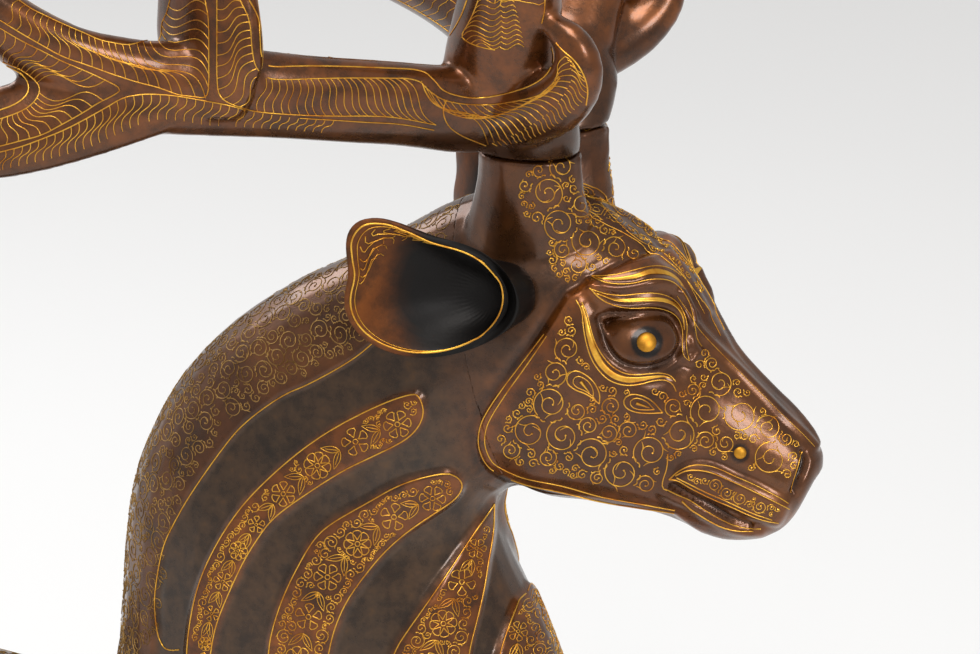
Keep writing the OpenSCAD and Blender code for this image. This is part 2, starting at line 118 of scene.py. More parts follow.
class InlaySizes(bpy.types.PropertyGroup):
    """Sizes of the gold work, in metres."""

    wire_radius: length("Scroll wire", "Half the width of the scroll wire", 0.24)
    line_radius: length("Border wire", "Half the width of the border wire", 0.3)
    pupil_radius: length("Pupil", "Radius of the gold pupils", 3.2)
    stud_radius: length("Muzzle stud", "Radius of the gold muzzle studs", 2.1)


def shade(name):
    return tuple(getattr(bpy.context.scene.stag_colours, name))


def inlay(name):
    return getattr(bpy.context.scene.stag_inlay, name) / MM


# ---- sections, in millimetres -------------------------------------------------
# Each row: dorsal (x, z), ventral (x, z), half-width, fullness, low.
TORSO_ROWS = [
    ((-153, 290), (-152, 274), 6, 1, 0), ((-149, 305), (-147, 250), 27, 1, 0),
    ((-137, 313), (-132, 230), 40, 1.1, 0), ((-112, 318), (-108, 217), 47, 1.15, 0),
    ((-78, 318), (-72, 209), 49, 1.15, 0.05), ((-50, 315), (-32, 200), 51, 1.15, 0.1),
    ((-32, 314), (14, 197), 53, 1.15, 0.1), ((-22, 315), (62, 198), 53, 1.15, 0.1),
    ((-16, 319), (104, 208), 52, 1.1, 0.05), ((-12, 326), (140, 228), 50, 1.05, 0),
]
NECK_ROWS = [
    ((-9, 336), (158, 260), 48, 1, 0), ((-6, 354), (161, 294), 46, 1, 0),
    ((-4, 376), (158, 326), 44, 1, 0), ((0, 400), (150, 350), 42, 1, 0),
    ((8, 421), (142, 368), 40, 1, 0), ((20, 441), (135, 382), 38, 1, 0),
    ((38, 460), (131, 393), 36.5, 1, 0), ((60, 476), (130, 401), 35, 1, 0),
    ((82, 488), (131, 406), 33.5, 1, 0), ((102, 501), (134, 410), 32, 1, 0),
    ((118, 511), (140, 413), 31, 1, 0),
]
HEAD_ROWS = [
    ((133, 517), (150, 411), 32, 1.05, 0), ((149, 518), (160, 411), 32, 1.05, 0),
    ((167, 511.5), (171, 411), 31, 1.05, 0), ((184, 500.5), (182, 410), 28, 1.05, 0),
    ((197, 485.5), (191, 408), 23.5, 1, 0.05), ((208, 468), (199, 405), 19, 1, 0.05),
    ((220, 456), (208, 403), 16.5, 1, 0.05), ((229, 448), (217, 404), 14.5, 1, 0),
    ((235, 441), (226, 408), 12, 1, 0), ((238, 435), (232, 416), 8, 1, 0),
    ((238.5, 430), (235, 424), 2.5, 1, 0),
]
CHEST_SEAM = ((-9, 336), (158, 260))
NAPE_SEAM = ((118, 511), (140, 413))
LEG_SEAM = 205
PLATE_TOP = 18
# Height above the base, x, half-length, half-width.
FRONT_LEG_ROWS = [
    (187, 92, 20, 13), (168, 92, 15.5, 11), (145, 94, 11.5, 9), (118, 96, 9, 7.8),
    (100, 97.5, 9.6, 8.4), (84, 97, 8, 7.2), (60, 97, 6.4, 6), (32, 98, 6.2, 5.8),
    (23, 99.5, 8, 7.2), (15, 102, 6.8, 6.8), (10, 104, 8.6, 7.8), (0, 107, 12, 9.2),
]
HIND_LEG_ROWS = [
    (187, -101, 23, 14), (168, -105, 17, 11.5), (148, -113, 12.5, 9.4), (128, -121, 10, 8.2),
    (112, -126, 9.6, 8), (98, -124, 8.2, 7.2), (72, -119, 6.6, 6.1), (34, -112, 6.3, 5.9),
    (23, -110, 8, 7.2), (15, -107.5, 6.8, 6.8), (10, -105.5, 8.6, 7.8), (0, -102, 12, 9.2),
]
LEG_Y = 35
# Height above the leg seam, x, y, half-length, half-width.
SHOULDER_ROWS = [(58, 82, 26, 28, 18), (34, 88, 32, 30, 16), (14, 91, 35, 25, 14), (0, 92, 35, 20, 13)]
THIGH_ROWS = [(66, -104, 26, 30, 18), (40, -98, 32, 34, 16), (16, -97, 35, 29, 15), (0, -101, 35, 23, 14)]
# z, x, y, half-length, half-width.
PEDICLE_ROWS = [
    (534, 145, 17, 16.5, 12.5), (525, 145, 16.5, 17, 12), (512, 144.5, 14, 20, 12.5), (496, 143, 11, 24, 13)
]
EYE = (184, 20, 474)
EYE_R = 9
# Centre, heading of the long axis, half-length, half-height, tip.
EAR_ROWS = [
    ((147, 23, 490), 46, 8.5, 8.5, 0), ((139, 31, 490), 30, 12, 11, 0),
    ((130, 39, 491), 8, 18.5, 15.5, 0.1), ((123, 45, 492), -14, 25, 19.4, 0.35),
    ((119.5, 47.5, 492), -23, 26.5, 20.4, 0.64), ((120, 48, 492), -23, 24, 17.9, 0.66),
    ((124, 44.5, 492), -14, 22, 16.4, 0.35), ((131, 39, 491), 6, 14, 11.5, 0.1),
    ((138, 33.5, 490.5), 26, 6, 6, 0),
]
# Distance along the palm, z, half-height, half-thickness.
BEAM_ROWS = [
    (-4, 550, 15, 11), (16, 552, 16.5, 10.5), (40, 557, 15.2, 9.5), (68, 562, 14.4, 9),
    (92, 566, 15, 8.5), (116, 569, 15, 8), (136, 570, 13, 7.5),
]
UP_TINE_ROWS = [
    (97, 560, 12, 7), (97, 577, 22, 8), (97, 596, 21, 7.5), (98, 615, 17, 7),
    (102, 634, 13, 6), (109, 651, 9, 5), (119, 662, 4.5, 3.5), (129, 668, 1.2, 1.2),
]
BACK_TINE_ROWS = [
    (112, 570, 13, 7.5), (134, 575, 14, 7.5), (154, 587, 12.5, 7), (171, 602, 11, 6.5),
    (185, 619, 9, 5.5), (194, 637, 6, 4.5), (198, 655, 1.2, 1.2),
]
LOW_TINE_ROWS = [
    (112, 567, 12, 7.5), (134, 563, 14.5, 7.5), (156, 557, 14, 7), (176, 553, 12, 6.5),
    (196, 553, 10, 6), (214, 560, 8, 5), (227, 573, 5, 4), (235, 589, 1.2, 1.2),
]
# x, y, z, half-height, half-thickness.
TRUNK_ROWS = [
    (139, 27, 548, 20, 12), (141, 34, 564, 19, 11.5), (146, 44, 584, 17, 10.5),
    (152, 56, 607, 14.5, 9), (155, 66, 630, 11.5, 7.5), (151, 73, 649, 8, 6),
    (141, 76, 664, 4.5, 4), (130, 76, 670, 1.2, 1.2),
]
CURL_ROWS = [
    (136, 27, 549, 12, 10), (149, 37, 553, 11.5, 9), (162, 47, 560, 10.5, 7.5),
    (170, 52, 570, 8.5, 6), (169, 53, 580, 6.5, 5), (161, 52, 586, 3.5, 3.5), (152, 50, 588, 1, 1),
]
ANTLER_FOOT_ROWS = [
    (568, 137, 31, 13, 9), (559, 138, 28, 20, 13), (547, 141, 24, 22, 15), (534.3, 145, 17, 16.5, 12.5),
]
ANTLER_FOOT_Z = 534.3
HOOF_GROOVE = 2.4
# x, y, z, half-length, half-width.
TAIL_ROWS = [
    (-146, 0, 302, 5, 9), (-153, 0, 292, 6, 8.5), (-156.5, 0, 277, 5.5, 8), (-157, 0, 262, 4, 6),
    (-156, 0, 250, 1.2, 1.5),
]


# ---- small tools ----------------------------------------------------------------
def unit(v):
    v = np.asarray(v, float)
    return v / np.linalg.norm(v)


def smooth_step(low, high, x):
    t = np.clip((x - low) / (high - low), 0, 1)
    return t * t * (3 - 2 * t)


def section_ring(row, sides=32):
    """Ring through a dorsal and a ventral point, with a half-width."""
    (dx, dz), (vx, vz), width, full, low = row
    dorsal, ventral = np.array([dx, 0, dz], float), np.array([vx, 0, vz], float)
    half = np.linalg.norm(dorsal - ventral) / 2
    axis = unit(dorsal - ventral)
    ring = []
    for i in range(sides):
        a = 2 * math.pi * i / sides
        c, s = math.cos(a), math.sin(a)
        across = width * math.copysign(abs(s) ** (1 / full), s)
        ring.append((dorsal + ventral) / 2 + axis * half * (c - low * s * s) + np.array([0, across, 0]))
    return ring


def oval(centre, p, q, sides=20):
    turns = [2 * math.pi * i / sides for i in range(sides)]
    return [np.asarray(centre, float) + np.asarray(p) * math.cos(a) + np.asarray(q) * math.sin(a) for a in turns]


def curve_point(a, b, c, d, t):
    """Catmull-Rom point a part t of the way from b to c."""
    return 0.5 * (2 * b + (c - a) * t + (2 * a - 5 * b + 4 * c - d) * t ** 2 + (3 * b - a - 3 * c + d) * t ** 3)


def between_rows(rows, steps):
    """Rows with steps Catmull-Rom rows put in each gap, so that a loft reads as one curve."""
    flat = [np.array([*row[0], *row[1], *row[2:]] if isinstance(row[0], tuple) else row, float) for row in rows]
    out = []
    for i in range(len(flat) - 1):
        a, b = flat[max(i - 1, 0)], flat[i]
        c, d = flat[i + 1], flat[min(i + 2, len(flat) - 1)]
        for k in range(steps):
            t = k / steps
            out.append(curve_point(a, b, c, d, t))
    out.append(flat[-1])
    return out


def body_rings(rows, steps=3):
    return [section_ring(((r[0], r[1]), (r[2], r[3]), r[4], r[5], r[6])) for r in between_rows(rows, steps)]


def branch_rings(path, across, sides=20):
    """Rings along a path of (x, y, z, half-height, half-thickness)."""
    path = [np.array(p, float) for p in path]
    rings = []
    for i, here in enumerate(path):
        along = unit(path[min(i + 1, len(path) - 1)][:3] - path[max(i - 1, 0)][:3])
        side = unit(np.array(across) - along * np.dot(across, along))
        up = np.cross(along, side)
        rings.append(oval(here[:3], up * here[3], side * here[4], sides))
    return rings


PALM_START = math.radians(52)
PALM_RADIUS = 273


def palm(s, z):
    """Point on the antler's palm: a sheet that leaves the pedicle outwards and bends back in plan."""
    a = PALM_START - s / PALM_RADIUS
    x = 138 - PALM_RADIUS * (math.sin(PALM_START) - math.sin(a))
    return x, 24 + PALM_RADIUS * (math.cos(a) - math.cos(PALM_START)), z


PALM_SIDE = (math.sin(math.radians(27)), -math.cos(math.radians(27)), 0)


def loft(bm, rings):
    """Skin closed rings in order, with a face over each end."""
    made = bmesh.ops.create_circle(bm, cap_ends=False, radius=1, segments=len(rings[0]))
    ring = made["verts"]
    edges = list({e for v in ring for e in v.link_edges})
    bmesh.ops.edgeloop_fill(bm, edges=edges)
    for vert, point in zip(ring, rings[0]):
        vert.co = point
    for points in rings[1:]:
        grown = bmesh.ops.extrude_edge_only(bm, edges=edges)["geom"]
        new = {g for g in grown if isinstance(g, bmesh.types.BMVert)}
        pair = {v: e.other_vert(v) for v in ring for e in v.link_edges if e.other_vert(v) in new}
        ring = [pair[v] for v in ring]
        edges = [g for g in grown if isinstance(g, bmesh.types.BMEdge) and g.verts[0] in new and g.verts[1] in new]
        for vert, point in zip(ring, points):
            vert.co = point
    bmesh.ops.edgeloop_fill(bm, edges=edges)


def mesh_object(bm, name):
    """A scene object from a bmesh in millimetres, with its normals turned outwards."""
    bmesh.ops.recalc_face_normals(bm, faces=bm.faces)
    mesh = bpy.data.meshes.new(name)
    bm.to_mesh(mesh)
    bm.free()
    piece = bpy.data.objects.new(name, mesh)
    bpy.context.scene.collection.objects.link(piece)
    return piece


def apply_modifiers(piece):
    graph = bpy.context.evaluated_depsgraph_get()
    made = bpy.data.meshes.new_from_object(piece.evaluated_get(graph))
    old, name = piece.data, piece.data.name
    piece.modifiers.clear()
    piece.data = made
    bpy.data.meshes.remove(old)
    made.name = name
    return piece


def cast_in_one(solids, name, grain, smoothing, factor=0.5):
    """Join overlapping lofts into one skin, as a casting is, and smooth its forks."""
    bm = bmesh.new()
    for rings in solids:
        part = bmesh.new()
        loft(part, rings)
        bmesh.ops.recalc_face_normals(part, faces=part.faces)
        loose = bpy.data.meshes.new("loft")
        part.to_mesh(loose)
        part.free()
        bm.from_mesh(loose)
        bpy.data.meshes.remove(loose)
    mesh = bpy.data.meshes.new(name)
    bm.to_mesh(mesh)
    bm.free()
    piece = bpy.data.objects.new(name, mesh)
    bpy.context.scene.collection.objects.link(piece)
    remesh = piece.modifiers.new("one skin", "REMESH")
    remesh.mode = "VOXEL"
    remesh.voxel_size = grain / MM
    smooth = piece.modifiers.new("smooth", "SMOOTH")
    smooth.factor = factor
    smooth.iterations = smoothing
    return apply_modifiers(piece)


def coords(piece):
    flat = np.empty(len(piece.data.vertices) * 3)
    piece.data.vertices.foreach_get("co", flat)
    return flat.reshape(-1, 3)


def normals(piece):
    flat = np.empty(len(piece.data.vertices) * 3, np.float32)
    piece.data.vertex_normals.foreach_get("vector", flat)
    return flat.reshape(-1, 3).astype(float)


def set_coords(piece, points):
    piece.data.vertices.foreach_set("co", np.asarray(points, float).ravel())
    piece.data.update()


def cut(piece, at, towards):
    """Saw a closed piece at a plane and keep the side away from towards, with a flat face over the cut."""
    bm = bmesh.new()
    bm.from_mesh(piece.data)
    bmesh.ops.bisect_plane(
        bm, geom=bm.verts[:] + bm.edges[:] + bm.faces[:], plane_co=at, plane_no=towards, clear_outer=True
    )
    open_edges = [e for e in bm.edges if e.is_boundary]
    bmesh.ops.holes_fill(bm, edges=open_edges, sides=0)
    bm.to_mesh(piece.data)
    bm.free()
    piece.data.update()


def seam_plane(seam, forward):
    """Point and normal of a seam plane; forward picks the side that the normal points to."""
    (dx, dz), (vx, vz) = seam
    along = unit((dx - vx, 0, dz - vz))
    across = np.cross(along, (0, 1, 0))
    if across[0] < 0:
        across = -across
    return Vector((vx, 0, vz)), Vector(across * forward)


# ---- bronze forms -----------------------------------------------------------------
def mirrored(rings, side):
    return [[(p[0], p[1] * side, p[2]) for p in ring] for ring in rings]


def pedicle_rings(side):
    rows = between_rows(PEDICLE_ROWS, 2)
    return mirrored([oval((r[1], r[2], r[0]), (r[3], 0, 0), (0, r[4], 0)) for r in rows], side)


def head_form():
    rows = NECK_ROWS[-3:] + HEAD_ROWS
    solids = [body_rings(rows)] + [pedicle_rings(side) for _, side in SIDES]
    return cast_in_one(solids, "head", bpy.context.scene.stag_figure.head_grain, 10)


def neck_form():
    rows = TORSO_ROWS[-1:] + NECK_ROWS + HEAD_ROWS[:2]
    return cast_in_one([body_rings(rows)], "neck", bpy.context.scene.stag_figure.neck_grain, 6)


def leg_rings(rows, side):
    return [oval((r[1], side * LEG_Y, PLATE_TOP + r[0]), (r[2], 0, 0), (0, r[3], 0)) for r in between_rows(rows, 3)]


def lump_rings(rows, side):
    return [oval((r[1], side * r[2], LEG_SEAM + r[0]), (r[3], 0, 0), (0, r[4], 0)) for r in between_rows(rows, 2)]


def body_form():
    solids = [body_rings(TORSO_ROWS + NECK_ROWS[:3])]
    solids.append(branch_rings(between_rows(TAIL_ROWS, 3), (0, 1, 0)))
    for _, side in SIDES:
        solids += [leg_rings(FRONT_LEG_ROWS, side), leg_rings(HIND_LEG_ROWS, side)]
        solids += [lump_rings(SHOULDER_ROWS, side), lump_rings(THIGH_ROWS, side)]
    return cast_in_one(solids, "body", bpy.context.scene.stag_figure.body_grain, 8)


def antler_form(side):
    def path(rows):
        return [(*palm(r[0], r[1]), r[2], r[3]) for r in between_rows(rows, 3)]

    palmate = (BEAM_ROWS, UP_TINE_ROWS, BACK_TINE_ROWS, LOW_TINE_ROWS)
    solids = [branch_rings(path(rows), PALM_SIDE) for rows in palmate]
    solids += [branch_rings(between_rows(rows, 3), (0, -1, 0.3)) for rows in (TRUNK_ROWS, CURL_ROWS)]
    solids.append([oval((r[1], r[2], r[0]), (r[3], 0, 0), (0, r[4], 0)) for r in between_rows(ANTLER_FOOT_ROWS, 2)])
    solids = [mirrored(rings, side) for rings in solids]
    return cast_in_one(solids, "antler_form", bpy.context.scene.stag_figure.antler_grain, 14)


def ear_ring(row, side):
    centre, heading, length, height, tip = (row[0], row[1], row[2]), row[3], row[4], row[5], row[6]
    h = np.array([math.cos(math.radians(heading)), math.sin(math.radians(heading)), 0])
    ring = []
    for i in range(36):
        a = 2 * math.pi * i / 36
        beak = 1 + tip * max(0, math.cos(a - math.radians(120))) ** 14
        p = np.array(centre) + beak * (h * length * math.cos(a) + np.array([0, 0, height * math.sin(a)]))
        ring.append((p[0], p[1] * side, p[2]))
    return ring


def ear_form(side):
    bm = bmesh.new()
    rows = [(*row[0], *row[1:]) for row in EAR_ROWS]
    loft(bm, [ear_ring(row, side) for row in rows])
    piece = mesh_object(bm, "ear_form")
    skin = piece.modifiers.new("skin", "SUBSURF")
    skin.levels = skin.render_levels = 2
    return apply_modifiers(piece)


# ---- the side drawing ----------------------------------------------------------------
# Outlines are drawn in millimetres on a plane turned 17 degrees forwards and tipped 20 degrees up,
# as the right side is seen. The left side is its mirror image.
TURN, TIP = math.radians(17), math.radians(20)
DRAW_RIGHT = np.array((math.cos(TURN), math.sin(TURN), 0))
DRAW_OUT = np.array((math.sin(TURN) * math.cos(TIP), -math.cos(TURN) * math.cos(TIP), math.sin(TIP)))
DRAW_UP = np.cross(DRAW_OUT, DRAW_RIGHT)
DRAWING = {
    "brow_1_low": [
        (153.5, 442.2), (155.9, 440.8), (159.1, 439.9), (162.8, 439.6), (166.9, 439.9), (171.5, 441.1),
        (175.8, 441.3), (179, 440.6), (181.4, 439), (183.5, 436.4), (185.2, 433.2), (186.2, 429.1),
        (186.8, 425.1), (187.5, 421.9), (189.1, 419.9),
    ],
    "brow_1_up": [
        (153.5, 442.3), (157.9, 442.3), (162.8, 443), (167.9, 444.4), (172.7, 445.5), (176.7, 445.4),
        (179.9, 444.3), (182.4, 442.5),
    ],
    "brow_1_fill": [
        (154.7, 441.8), (157.9, 441.4), (162, 441.4), (167, 442.1), (172.1, 443.6), (176.1, 443.6),
        (179.3, 442.6), (181.7, 440.8), (183.7, 438),
    ],
    "brow_2_up": [
        (152.7, 438.3), (155.9, 437.1), (159.5, 436.3), (163.5, 436), (168.4, 436.6), (172.6, 436.9),
        (176.3, 436.4), (179.7, 435), (182.1, 432.5), (183.6, 429.1), (184.1, 425.9), (183.8, 421.9),
        (183.9, 418.7), (184.9, 415.3),
    ],
    "brow_2_fill": [
        (154.7, 436.8), (157.9, 435.7), (161.1, 434.7), (165.1, 434.5), (170, 434.8), (175, 434.8),
        (178.7, 433.9), (181.2, 432.1), (182.7, 429.1), (183.2, 425.1),
    ],
    "brow_2_low": [
        (153.1, 438.2), (154.7, 436.2), (157.1, 434.3), (160.3, 432.9), (164.3, 432.1), (168.4, 432),
        (172.5, 432.3), (176.6, 431.7), (179.9, 430.3), (181.9, 427.9), (182.8, 424.3), (182.5, 419.9),
        (182.9, 416.7), (184.9, 415.3),
    ],
    "eye_almond": [
        (157, 428.3), (159.4, 429.1), (165.1, 429.5), (171.2, 429.9), (176.5, 429.1), (179.7, 425.9),
        (180.9, 421.9), (179.6, 417.9), (176.3, 415.5), (171.1, 414.3), (165.8, 414.6), (161.8, 416.8),
        (159.4, 420.3), (158.2, 424.3),
    ],
    "under_eye_out": [
        (148.5, 434.6), (150.3, 431.5), (150.8, 425.9), (151.8, 420.7), (153.5, 415.6), (156.3, 411.6),
        (159.5, 408.8), (164.3, 407.4), (169.1, 407.8), (173.1, 409), (177.1, 409.3), (179.6, 407.9),
        (180.6, 405.5),
    ],
    "under_eye_in": [
        (150.3, 434), (152, 430.3), (153, 425.9), (154.2, 421.9), (156.2, 418), (159.4, 414),
        (163.4, 411.4), (167.5, 410.8), (171.5, 411.2), (175.5, 411.5), (178.8, 410.7), (180.4, 408.7),
    ],
    "under_eye_fill": [
        (150.3, 433.1), (151.6, 428.3), (152.6, 423.9), (154.2, 418.8), (156.6, 414.4), (160.2, 411),
        (164.3, 409.4), (168.3, 409.4), (172.3, 410), (176.3, 410.4), (179.2, 409.5),
    ],
    "tear_1": [
        (156.1, 401.6), (156.3, 404.8), (154.3, 408.8), (150.7, 411.6), (147.9, 412.3), (145.8, 410.8),
        (145.8, 408), (148.4, 406), (152.3, 404.6), (156.1, 401.6),
    ],
    "tear_2": [
        (176.4, 398.7), (173.2, 402.4), (169.9, 404.2), (166.3, 404.8), (163.7, 403.2), (164.3, 400.4),
        (167.6, 398.8), (172, 398.5), (176.4, 398.7),
    ],
    "lip_top": [
        (178.9, 376.9), (181.6, 379.6), (185.6, 381.5), (189.6, 381.8), (194.5, 380.7), (200.1, 378),
        (205.8, 375.6), (210.7, 373.1), (215.2, 370.7), (217.4, 369.2),
    ],
    "lip_top_in": [
        (180.9, 378.2), (184, 379.8), (187.7, 380.1), (192.1, 379.4), (196.9, 377.4), (201.8, 375.2),
        (208.3, 372.1), (213.7, 369.4), (218, 367.2),
    ],
    "lip_low": [
        (178.9, 376.9), (181.7, 376.7), (185, 374.6), (189.1, 372.4), (194, 370.1), (199.7, 367.7),
        (205.5, 365), (210.4, 363.3), (214.6, 362.6),
    ],
    "lip_low_in": [
        (181.3, 377.5), (185.8, 375.3), (190.7, 372.8), (196.4, 370.4), (202.1, 367.7), (206.2, 365.8),
        (212.4, 363.7),
    ],
    "mouth": [
        (180, 375.2), (183.1, 373.4), (186.8, 371.3), (191.7, 368.8), (196.6, 365.9), (200.8, 363.6),
        (205.7, 362.2),
    ],
    "chin_1": [
        (177.8, 373.8), (182, 371.7), (186, 370), (190.2, 367.1), (195.1, 364.2), (200.1, 361.7),
        (205, 360.6), (209.1, 360.6),
    ],
    "chin_2": [
        (183.3, 369.8), (186.2, 367), (189.5, 364.9), (192.9, 362.8), (197, 360.8), (201.9, 359.7),
        (206.8, 359.7),
    ],
    "nostril": [(221.9, 385.6), (222.3, 383.2), (221.5, 380), (219.9, 376.8), (218.8, 373.5)],
    "nostril_line": [(221.9, 385.8), (221.1, 384.5), (220.1, 380.8), (218.9, 376.8), (218.2, 372.7)],
    "nose_dot": [(202.4, 385.3)],
    "bridge_edge": [
        (180.8, 436), (185.3, 429.9), (188, 425.1), (200.2, 413), (204.2, 409), (209.9, 403.3),
        (215.9, 397.3), (222.1, 391.6), (226, 387.5),
    ],
    "crest_edge": [
        (146.3, 490), (149.5, 482.8), (150.5, 477.6), (151, 472.5), (154, 470.5), (158.6, 463.4),
        (168, 454), (175.8, 450.8), (182.3, 444.6), (186.8, 436.5), (190.1, 430.3),
    ],
    "mouth_corner": [(178.3, 385.4), (178.2, 380.8), (176.9, 376.7), (176.8, 374.2), (178.3, 373.3)],
    "cheek_out": [
        (138.4, 423.8), (130.8, 413.6), (124.5, 405.2), (119.6, 397.6), (117.7, 392.7), (117.4, 387.3),
        (119.3, 381.9), (122.6, 378.5), (131.1, 374.6), (144.9, 371.9), (157.3, 368.7), (170.4, 366.8),
        (181.3, 365.4),
    ],
    "scroll_cheek": [
        (140.4, 420.3), (145.1, 430.8), (147.9, 430.8), (150.5, 420.3), (153.7, 413), (159.5, 408.6),
        (166.5, 406.6), (175.5, 407.9), (180.7, 405.3), (185.5, 412.6), (187.5, 419.5), (192, 419.5), (198.4, 412.6),
        (206.8, 404), (214.9, 395.6), (221.4, 388.4), (220.1, 380), (217.9, 375.2), (208.1, 377.5),
        (200, 381.4), (190.7, 384.9), (183.6, 384.9), (178.5, 381.3), (176.1, 376.7), (177, 370.9),
        (169.9, 371.9), (157, 374.4), (144, 377.3), (132.7, 380.1), (124.5, 382.6), (122.2, 387.7),
        (122.9, 393.4), (128.3, 401), (134, 409.1),
    ],
    "scroll_temple": [
        (144.4, 486.5), (148.2, 483.1), (149, 472.5), (153, 468.5), (157, 462.1), (164, 454.2),
        (169.8, 451), (169.7, 447.1), (156.4, 444.9), (149.2, 440.4), (143.5, 439.7), (140.3, 444.2),
        (138.7, 448.9), (137.7, 456.1), (132.3, 458.3), (130.1, 464.5), (129.7, 470.7), (133.2, 476.8),
        (138.4, 481.2),
    ],
    "scroll_lip": [
        (182.5, 378), (185.7, 379.6), (188.9, 379), (193.7, 377.6), (200.2, 374.7), (207.9, 371.3),
        (214.9, 368.2), (216.7, 366.9), (212.8, 364.3), (206.2, 366.2), (199.6, 369.1), (192.3, 372.4),
        (185.8, 375.7),
    ],
    "band_1": [
        (96, 405.7), (81.9, 400.4), (61.9, 389.3), (41.7, 371.7), (31, 357.6), (23.7, 343.9), (19.8, 332),
        (17.2, 316.9), (17.3, 306), (21, 298), (26, 304), (27.6, 315.5), (29.6, 325.3), (34.5, 336.6),
        (39.5, 347), (44.5, 355), (50.1, 362.5), (61.7, 370.7), (73.7, 378.5), (84, 383.3), (96.5, 389.6),
        (101.2, 397.5), (99.3, 404.4),
    ],
    "band_2": [
        (105.6, 379.3), (91.8, 375.7), (81.5, 369.6), (68.2, 362.1), (62.1, 356.4), (55.9, 345.5),
        (51.4, 336.2), (47.8, 325.8), (45.9, 316.5), (46.5, 302), (52, 287), (60, 288), (66, 303),
        (68.3, 317.2), (70.4, 325.8), (74.6, 335.3), (81.3, 344.5), (86.9, 351.2), (94.2, 357.8),
        (104.1, 364.4), (111, 369), (113.7, 374.1), (110.8, 378.3),
    ],
    "band_3": [
        (123.6, 369.8), (120.9, 365.7), (114.3, 356.6), (107.3, 346.1), (99.4, 334.6), (92.7, 325.2),
        (88.1, 317.8), (85, 303), (86, 288), (93, 277), (102, 278), (110, 290), (114, 304), (114.9, 317.1),
        (117.6, 327.4), (120.3, 338.5), (121.6, 347.4), (123.3, 356.2), (123.6, 364.6),
    ],
    "band_4": [
        (132, 338), (129, 331.9), (125.6, 323), (123.6, 316.7), (121.5, 305), (120, 290), (121, 275),
        (126, 264), (134, 258), (175, 258), (175, 345),
    ],
    "dorsal": [
        (84.6, 422), (76.4, 415.3), (62.7, 407.7), (52.5, 403.4), (40.2, 394.6), (33.1, 386.8),
        (20.9, 370.3), (14.5, 359.9), (10.3, 351.7), (7.7, 341.2), (6.3, 331.6), (7.2, 320.9),
        (9.3, 316.2), (11.9, 315.4), (15.3, 316),
    ],
    "beam_top_out": [
        (50.7, 521.8), (52.6, 518.5), (53.4, 516), (53.6, 510.5), (53.8, 505.6), (55.3, 503.7),
        (64.3, 504.3), (73.1, 504.6), (89.1, 504.6), (100.5, 504.4), (104.2, 501.4), (106.9, 498.1),
        (112.7, 496.5), (118.5, 496.4), (127.1, 497.6), (134.3, 499.3), (139, 502.5), (140.7, 507.7),
        (139.5, 511.8),
    ],
    "beam_top_in": [
        (48.1, 521.8), (50.9, 515.8), (51.3, 507.5), (52, 503.2), (53.5, 501), (57.3, 499.9),
        (73.1, 500.9), (88, 501.4), (99.1, 501.5), (102.7, 498), (106.9, 495.4), (112.7, 494.4),
        (118.5, 494.4), (125.8, 494.6), (133.7, 495.4), (139, 497.2), (142.3, 500.8),
    ],
    "midrib_low": [
        (41.1, 522.1), (40.8, 510.7), (40.4, 499.2), (40.8, 494.9), (43.5, 492.6), (48.2, 491.1),
        (54.3, 490.3), (64, 489.9), (72.9, 489.8), (86.9, 490.2), (94.1, 489.8), (104.7, 488.1),
    ],
    "midrib_low_2": [(64, 489), (72.9, 488.7), (83.3, 488.3), (94.1, 488.1), (104, 486.6)],
    "midrib_up_l": [
        (37.4, 522.3), (38.4, 516.5), (38.1, 505.1), (37.8, 497.1), (36.7, 494.2), (32, 494.8),
        (28.8, 495), (23.4, 497), (16.7, 498.6), (9.6, 500.8), (3.4, 503), (-4.3, 505.5), (-10.8, 509.1),
        (-16.2, 512.2), (-22.2, 515.9),
    ],
    "low_rib_line": [
        (48.2, 490.8), (40.7, 492.6), (32, 494.2), (25.6, 495), (20.4, 495.2), (16.6, 494.9), (12.2, 494),
        (7.1, 491), (0.8, 487.5), (-5.1, 484.5), (-11.7, 481.9), (-18.4, 479.5), (-24.4, 478.1),
    ],
    "mid_line_l": [
        (-22.4, 513.7), (-16.7, 510.3), (-10.4, 507.2), (-4.7, 504.3), (1.5, 501.8), (7.5, 499.1),
        (11.4, 497.1), (11.7, 496), (9.3, 494.5), (5.1, 492.5), (0.9, 489.8), (-5.4, 486.3), (-11.7, 483),
        (-18.3, 481.3), (-24.3, 479.8),
    ],
    "gap_u_out": [
        (-18.5, 526.5), (-14.6, 524.1), (-10.1, 521.4), (-5, 519.1), (-0.5, 517.3), (6.5, 516.4),
        (11.7, 517.1), (15.4, 520.5), (17.3, 523.3), (18.5, 525.7), (21.4, 524.4),
    ],
    "gap_u_in": [
        (-16.7, 521.8), (-13.5, 519.5), (-10.2, 517.9), (-4.2, 515.1), (1.8, 512.6), (6.3, 510.6),
        (10.3, 509.9), (13.4, 509.4), (16.2, 509.8), (20.1, 511.6), (22.4, 513.4), (22.8, 517.6),
        (24.4, 519.4), (25.9, 523.5),
    ],
    "gap_eye_out": [
        (-29.3, 507.2), (-20.4, 502.7), (-17.7, 501.2), (-16.1, 498.9), (-15.7, 496.2), (-17.1, 494),
        (-20, 492), (-24.2, 490.5),
    ],
    "gap_eye_in": [
        (-24.4, 505.1), (-20.1, 503.4), (-16.5, 501.6), (-13.7, 499.3), (-12.3, 497), (-12.9, 494.3),
        (-15.2, 491.6), (-18.8, 489.6), (-24.2, 487.8),
    ],
    "bottom_edge": [
        (72.6, 485), (62.3, 485.6), (49, 486.2), (37.3, 486.6), (30.1, 487.6), (24.1, 488), (19.2, 487.1),
        (13, 484.7), (6.7, 481.7), (0.4, 479), (-8.8, 476.4), (-18.4, 474.3), (-24.8, 472.9),
    ],
    "curl_out": [(141, 511.1), (143.1, 508.6), (146.7, 505.6), (149.4, 501.5), (150.7, 497.2), (150.2, 493)],
    "curl_leaf_l": [
